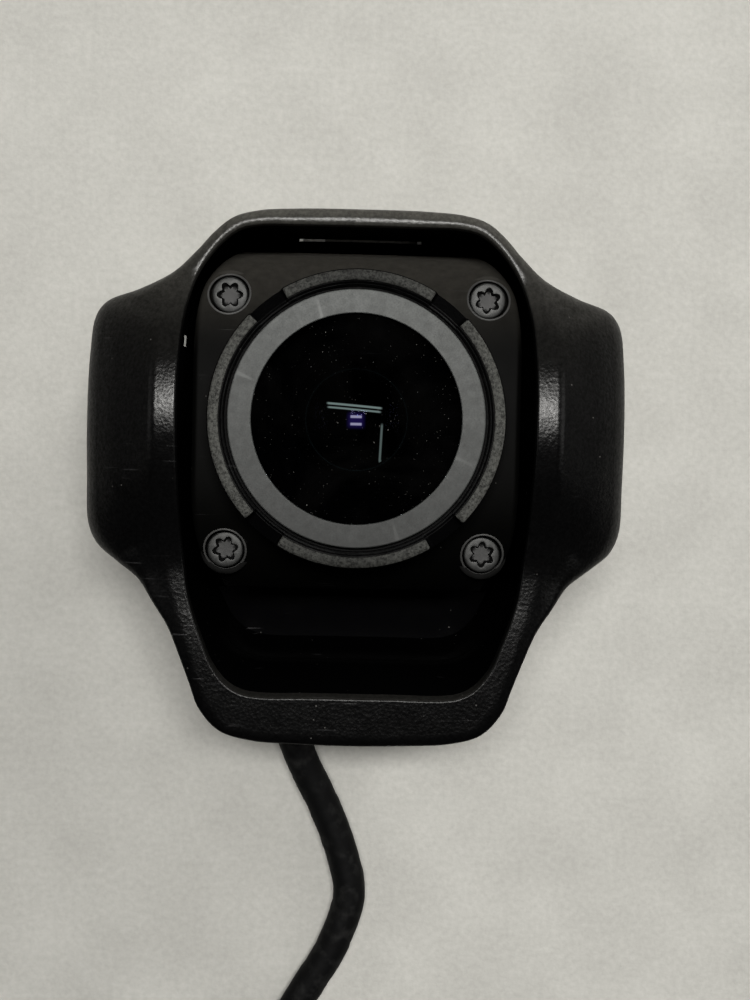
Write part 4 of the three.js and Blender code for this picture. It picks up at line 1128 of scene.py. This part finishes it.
def rear_shell():
    outer = [rear_at(y, 0.0) for y in (SPLIT + GAP, -3.4, -1.5, 0.0, 0.5, 2.0, 3.4, 4.6, 6.2, 7.8,
                                       9.2, 10.2)]
    outer += [rear_at(10.7, 0.25), rear_at(10.93, 0.7), rear_at(11.0, 1.6)]
    outer.append([(x * 0.55, 11.0, z * 0.55) for x, _, z in rear_at(11.0, 2.0)])
    inner = [rear_at(y, 2.3) for y in (9.2, 6.0, 2.2, -0.6, SPLIT + GAP)]
    inner.insert(0, [(x * 0.55, 9.2, z * 0.55) for x, _, z in inner[0]])
    verts, faces = rings(outer + inner, closed_rows=True)
    # in place of the ring that joins the two walls in the middle: two flat discs
    n = len(OUTLINE)
    outer_last, inner_first = (len(outer) - 1) * n, len(outer) * n
    del faces[outer_last:inner_first]
    faces.append(tuple(range(outer_last, inner_first)))
    faces.append(tuple(reversed(range(inner_first, inner_first + n))))
    return verts, faces


back = module_piece("module_back", rear_shell(), "matte_black", "matte_black_plastic",
                    "module_rear")
cut(back, [rod("x", 3.5, 17, 26, 0, 0, 40), rod("x", 3.5, -26, -17, 0, 0, 40),
           rod("y", 3.4, 8, 14, 0, -8, 40)])

# ------------------------------------------------------------------ trim ring, glass, lens
profile = round_profile([(15.2, -29.5), (18.6, -29.5), (18.6, -27.5), (17.5, -27.5),
                         (17.5, -28.6), (15.2, -28.6)],
                        [0.16, 0.22, 0.2, 0.1, 0.1, 0.12], steps=4)
module_piece("grey_trim_ring", lathe_closed(profile, 288), "trim_grey",
             "grey_trim", "trim_ring")

GLASS_FRONT, GLASS_BACK, GLASS_RADIUS = -28.5, -27.35, 17.1
glass_edge = round_profile([(14, GLASS_FRONT), (GLASS_RADIUS, GLASS_FRONT),
                            (GLASS_RADIUS, GLASS_BACK), (14, GLASS_BACK)],
                           0.12, steps=3, closed=False)[1:-1]
profile = ([(r, GLASS_FRONT) for r in (0, 4, 9, 14)] + glass_edge
           + [(9, GLASS_BACK), (0, GLASS_BACK)])
module_piece("cover_window", lathe_solid(profile, 192), "cover_glass", "cover_glass",
             "front_glass")

# stepped light baffle behind the glass
BAFFLE_IN, BAFFLE_OUT, BAFFLE_Y, BAFFLE_STEPS = 9.6, 18.5, -24.2, 9
profile = [(BAFFLE_IN, BAFFLE_Y)]
for i in range(BAFFLE_STEPS):
    r = BAFFLE_IN + (BAFFLE_OUT - BAFFLE_IN) * (i + 1) / BAFFLE_STEPS
    y = BAFFLE_Y - 0.5 * (i + 1) / BAFFLE_STEPS
    profile += [(r - 0.12, y - 0.02), (r - 0.10, y - 0.22), (r, y - 0.22), (r, y)]
profile += [(BAFFLE_OUT, -23.9), (10.2, -23.4), (8.95, -19.8), (8.45, -19.8), (BAFFLE_IN, -23.6)]
module_piece("stepped_baffle", lathe_closed(profile, 144), "baffle_black", "black_anodised",
             "light_baffle", sharp=30)

profile = round_profile([(7.3, -24.8), (7.9, -24.8), (8.2, -24.4), (8.2, -16.0), (6.0, -15.6),
                         (6.0, -7.6), (4.0, -7.6), (4.0, -14.0), (5.7, -18.0), (5.7, -21.8),
                         (7.3, -21.8)], 0.12, steps=3)
module_piece("barrel", lathe_closed(profile, 144), "anodised_black", "black_anodised",
             "lens_barrel")


def dome(radius, y_front, sag, y_back, steps=24):
    """Profile of a lens with a domed front and a flat back."""
    ball = sphere_radius(radius, sag)
    points = [(0, y_front)]
    for i in range(1, steps + 1):
        r = radius * i / steps
        points.append((r, y_front + ball - math.sqrt(ball * ball - r * r)))
    edge = round_profile([points[-1], (radius, y_back), (0, y_back)], 0.1, steps=2, closed=False)
    return points + edge[1:-1] + [(radius * 0.5, y_back), (0, y_back)]


for which, mat, profile in (
        ("front", "lens_glass_front", dome(LENS_RADIUS, -26.6, LENS_SAG, -22.1)),
        ("middle", "lens_glass", dome(3.7, -17.4, 0.9, -15.2)),
        ("rear", "lens_glass", dome(3.6, -12.2, 0.8, -9.8))):
    module_piece("lens_" + which, lathe_solid(profile, 96), mat, "lens_glass",
                 "lens_element_" + which)

# ------------------------------------------------------------------ lead
CABLE_RADIUS = 2.9
LEAD_PATH = [
    (CABLE_X, CABLE_Y, -28), (CABLE_X, CABLE_Y, -38), (CABLE_X, CABLE_Y, -47),
    (-10.9, 18.0, -52), (-8.9, 19.4, -58.5), (-4.9, 21.0, -67), (-0.9, 21.6, -77),
    (0.5, 21.65, -85), (-2.2, 21.65, -93.6), (-6.0, 21.65, -100.4), (-8.5, 21.6, -104.5),
    (-12.3, 20.8, -111), (-15.2, 19.4, -117.5), (-17.0, 18.9, -121.5)]


def even_path(keys, step):
    """(distance, point) at even steps along a smooth curve through the keys."""
    raw = [Vector(p) for p in catmull(keys, 40, closed=False)]
    length = [0.0]
    for a, b in zip(raw, raw[1:]):
        length.append(length[-1] + (b - a).length)
    count = int(length[-1] / step)
    path, k = [], 0
    for i in range(count + 1):
        s = length[-1] * i / count
        while k < len(length) - 2 and length[k + 1] < s:
            k += 1
        t = (s - length[k]) / max(length[k + 1] - length[k], 1e-9)
        path.append((s, raw[k].lerp(raw[k + 1], t)))
    return path


def tape_radius(s, a):
    """Tape wound at a long pitch: one lapped edge that steps up and runs out, and wrinkles."""
    pitch, lap_height, step_share = 13.5, 0.10, 0.045
    phase = (s / pitch + a / (2 * math.pi)) % 1.0
    if phase > step_share:
        lap = lap_height * (1 - smooth01(phase / 0.75)) - 0.05
    else:
        lap = lerp(-0.05, 0.05, phase / step_share)
    broad = noise.noise(Vector((math.cos(a) * 0.9, math.sin(a) * 0.9, s * 0.33))) * 0.07
    small = noise.noise(Vector((math.cos(a) * 2.2 + 7, math.sin(a) * 2.2, s * 0.9))) * 0.035
    return CABLE_RADIUS - 0.02 + lap + (broad + small)


def taped_lead(sides=40):
    path = even_path(LEAD_PATH, step=0.3)
    rows = []
    up = Vector((1, 0, 0))
    for i, (s, point) in enumerate(path):
        ahead = path[min(i + 1, len(path) - 1)][1]
        forward = (ahead - path[max(i - 1, 0)][1]).normalized()
        up = (up - forward * up.dot(forward)).normalized()
        side = forward.cross(up)
        row = []
        for k in range(sides):
            a = 2 * math.pi * k / sides
            radius = tape_radius(s, a)
            if point.z > -49.0:  # inside the grommet's bore
                radius = min(radius, 2.93)
            p = point + (up * math.cos(a) + side * math.sin(a)) * radius
            p.y = min(p.y, PAD_BACK - 0.02)  # the lead lies just clear of the floor
            row.append(tuple(p))
        rows.append(row)
    return rings(rows, centre=(tuple(path[0][1]), tuple(path[-1][1])))


housing_piece("taped_lead", taped_lead(), "cable_tape", "cable_wrap", "cable", sharp=60)


# ------------------------------------------------------------------ grommet
def rounded_rectangle(cx, cy, half_x, half_y, radius, steps=6):
    points = []
    for sx, sy, first in ((1, 1, 0), (-1, 1, 90), (-1, -1, 180), (1, -1, 270)):
        for i in range(steps + 1):
            a = math.radians(first + 90 * i / steps)
            points.append((cx + sx * (half_x - radius) + radius * math.cos(a),
                           cy + sy * (half_y - radius) + radius * math.sin(a)))
    return points


GROMMET_LEVELS = [  # z, inset: a groove lies between the collar and the body
    (BOTTOM + 0.7, 0.25), (BOTTOM + 0.9, 0.0), (BOTTOM + 2.2, 0.0), (BOTTOM + 2.2, 0.7),
    (BOTTOM + 3.2, 0.7), (BOTTOM + 3.2, 0.0), (-42.5, 0.0)]
grommet_front = OUTLET_FRONT + GAP
grommet_y, grommet_half_y = (grommet_front + SHELL_BACK) / 2, (SHELL_BACK - grommet_front) / 2
GROMMET_HALF_X = 4.0
grommet = housing_piece("lead_grommet", rings([
    [(x, y, z) for x, y in rounded_rectangle(CABLE_X, grommet_y, GROMMET_HALF_X - inset,
                                             grommet_half_y - inset, radius=1.2)]
    for z, inset in GROMMET_LEVELS]), "soft_rubber", "black_rubber", "cable_grommet")
cut(grommet, [rod("z", 3.0, -60, -30, CABLE_X, CABLE_Y)])

# ------------------------------------------------------------------ plug
PLUG_DIRECTION = (-0.41, 0.0, -0.912)


def on_plug(mesh):
    """Mesh made about the Y axis, turned to run on from the end of the lead."""
    turn = Vector((0, 1, 0)).rotation_difference(Vector(PLUG_DIRECTION).normalized())
    end = Vector(LEAD_PATH[-1])
    verts, faces = mesh
    return [tuple(turn @ Vector(v) + end) for v in verts], faces


# Profiles: radius, distance from the end of the lead
BOOT = [
    (0, 0.35), (3.5, 0.35), (3.7, 1.6), (3.7, 1.9), (3.35, 2.2), (3.35, 2.7), (3.7, 3.0),
    (3.7, 3.3), (3.35, 3.6), (3.35, 4.1), (3.7, 4.4), (3.7, 4.7), (3.4, 5.0), (3.4, 5.5),
    (3.7, 5.8), (3.8, 6.2), (5.3, 8.8), (5.4, 9.4), (5.4, 17.4), (5.1, 18.0), (0, 18.0)]
PLUG_SHELL = [
    (0.0, 18.3), (5.3, 18.3), (5.6, 18.7), (5.6, 20.2), (5.35, 20.45), (5.35, 20.9),
    (5.6, 21.15), (5.6, 29.6), (5.35, 30.0), (4.95, 30.0), (4.9, 29.6), (4.9, 22.0), (0.0, 22.0)]
PIN = [(0, 22.4), (0.5, 22.4), (0.5, 27.3), (0.42, 27.7), (0.22, 27.95), (0, 28.0)]
PIN_CIRCLE = 2.2
boot = lathe_solid(round_profile(BOOT, 0.35, steps=3, closed=False), 72)
housing_piece("plug_boot", on_plug(boot), "soft_rubber", "black_rubber", "plug_overmould")
plug_shell = lathe_solid(round_profile(PLUG_SHELL, 0.15, steps=3, closed=False), 96)
housing_piece("plug_shell", on_plug(plug_shell), "gloss_black", "matte_black_plastic",
              "plug_body")
for i in range(4):
    a = math.pi / 4 + i * math.pi / 2
    pin = lathe_solid(PIN, 24, PIN_CIRCLE * math.cos(a), PIN_CIRCLE * math.sin(a))
    housing_piece("contact_pin_%d" % (i + 1), on_plug(pin), "gold_pin", "brass",
                  "plug_pin_%d" % (i + 1), sharp=45)

# ------------------------------------------------------------------ CAD nodes that stay
KEPT_NODES = {
    "baffle_black": ["friction_washer_left", "friction_washer_right"],
    "soft_rubber": ["module_seal", "glass_gasket", "cable_gland"],
    "anodised_black": ["lens_holder"],
    "lens_glass": ["ir_cut_filter"],
    "chip_black": ["image_sensor", "video_processor"],
    "circuit_board": ["sensor_board", "main_board"],
    "connector_white": ["board_link", "wire_header", "wire_plug"],
    "brass_turned": ["pivot_insert_left", "pivot_insert_right"]
    + ["board_spacer_%d" % i for i in range(1, 5)],
    "screw_steel": ["pivot_screw_left", "pivot_screw_right"],
    "bright_steel": ["board_screw_%d" % i for i in range(1, 5)],
}
for mat, names in KEPT_NODES.items():
    for name in names:
        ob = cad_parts[name]
        if ob.data.materials:
            for material_slot in ob.material_slots:
                material_slot.link = "OBJECT"
                material_slot.material = MAT[mat]
        else:
            ob.data.materials.append(MAT[mat])

# ------------------------------------------------------------------ floor
def floor_material():
    """Pale cloth-like surface that is clear when seen from behind."""
    g, co = start("pale_floor")
    weave = g.plus(g.times(g.noise(co, scale=900.0, detail=3.0), 0.5),
                   g.times(g.noise(co, scale=60.0, detail=4.0), 0.5))
    colour = g.mix(g.ramp(weave, {0.35: 0.0, 0.65: 1.0}), (0.370, 0.366, 0.345),
                   (0.450, 0.446, 0.422))
    normal = g.bump(g.noise(co, scale=1400.0, detail=3.0), strength=0.25, distance=0.0002)
    cloth = g.principled(colour, rough=0.9, normal=normal, spec=0.15)
    clear = g.node("BsdfTransparent").outputs[0]
    # the world's Y direction in camera space tells which side the camera is on
    seen = g.node("VectorTransform", {0: (0, 1, 0)}, vector_type="VECTOR",
                  convert_from="WORLD", convert_to="CAMERA").outputs[0]
    from_front = g.math("GREATER_THAN", g.times(g.separate(seen)[2], 1.0), -0.12)
    g.surface(g.mix_shader(from_front, clear, cloth))


floor_material()
bm = bmesh.new()
bmesh.ops.create_grid(bm, x_segments=24, y_segments=24, size=1.6)
me = bpy.data.meshes.new("floor")
bm.to_mesh(me)
bm.free()
me.materials.append(MAT["pale_floor"])
floor = bpy.data.objects.new("floor", me)
bpy.context.scene.collection.objects.link(floor)
floor.rotation_euler = (math.radians(90), 0, 0)
floor.location = (0, 0.00008, 0)

# ------------------------------------------------------------------ world
world = bpy.data.worlds.new("studio")
bpy.context.scene.world = world
g = Graph(world, output="OutputWorld")
ambient = g.node("Background", {"Color": (0.80, 0.80, 0.78), "Strength": 0.012}).outputs[0]
# past the edge of the floor, and from behind, the camera sees a pale backdrop
backdrop = g.node("Background", {"Color": (0.50, 0.495, 0.47), "Strength": 1.0}).outputs[0]
g.surface(g.mix_shader(g.node("LightPath").outputs["Is Camera Ray"], ambient, backdrop))


# ------------------------------------------------------------------ lights, in metres
def area_light(name, location, target, width, height, power):
    light = bpy.data.lights.new(name, "AREA")
    light.shape = "RECTANGLE"
    light.size, light.size_y = width, height
    light.energy = power
    light.color = (1, 0.985, 0.95)
    ob = bpy.data.objects.new(name, light)
    bpy.context.scene.collection.objects.link(ob)
    ob.location = location
    ob.rotation_mode = "QUATERNION"
    ob.rotation_quaternion = (Vector(target) - Vector(location)).to_track_quat("-Z", "Y")
    return ob


# frontal lamp a little above the camera, and a broad soft one above to the right
LAMP_DISTANCE, LAMP_ELEVATION = 1.25, math.radians(10.6)
area_light("front_lamp", location=(0.03, -LAMP_DISTANCE * math.cos(LAMP_ELEVATION),
                                   LAMP_DISTANCE * math.sin(LAMP_ELEVATION)),
           target=(0, -0.03, 0), width=0.50, height=0.14, power=17.0)
top = area_light("top_light", location=(0.75, -0.42, 0.90), target=(0, -0.03, 0), width=0.9,
                 height=0.6, power=10.0)
top.visible_glossy = False
for name, x, power in (("side_right", 1.10, 2.6), ("side_left", -1.10, 1.3)):
    area_light(name, location=(x, -0.75, 0.10), target=(0, 0, -0.01), width=0.8, height=0.8,
               power=power)
# behind the floor, for views from the back
area_light("back_lamp", location=(-0.45, 1.0, 0.60), target=(0, 0, -0.03), width=0.9, height=0.6,
           power=26.0)

# ------------------------------------------------------------------ camera
FOCAL, SENSOR = 51.984, 36.0
CAMERA_AT = Vector((0.0, -237.0, -5.0))
AIM_POINT = Vector((0.0, -29.5, 0.0))       # middle of the trim ring's front
AIM_RIGHT, AIM_UP = -0.666, 2.916           # where it falls, in mm on the sensor
ROLL = 0.0225                               # radians

to_aim = (AIM_POINT - CAMERA_AT).normalized()
forward = to_aim.copy()
for _ in range(60):  # turn until the aim point falls in its place
    level = forward.cross(Vector((0, 0, 1))).normalized()
    upright = level.cross(forward)
    c, s = math.cos(ROLL), math.sin(ROLL)
    right, up = level * c + upright * s, upright * c - level * s
    ray = (forward + right * (AIM_RIGHT / FOCAL) + up * (AIM_UP / FOCAL)).normalized()
    forward = (ray.rotation_difference(to_aim) @ forward).normalized()
camera_data = bpy.data.cameras.new("camera")
camera_data.sensor_width = SENSOR
camera_data.sensor_fit = "AUTO"
camera_data.lens = FOCAL
camera_data.clip_start, camera_data.clip_end = 0.01, 20.0
camera = bpy.data.objects.new("camera", camera_data)
bpy.context.scene.collection.objects.link(camera)
rotation = Matrix((right, up, -forward)).transposed()
camera.matrix_world = Matrix.Translation(Vector(place(CAMERA_AT))) @ rotation.to_4x4()
bpy.context.scene.camera = camera
bpy.context.scene.view_settings.view_transform = "Standard"
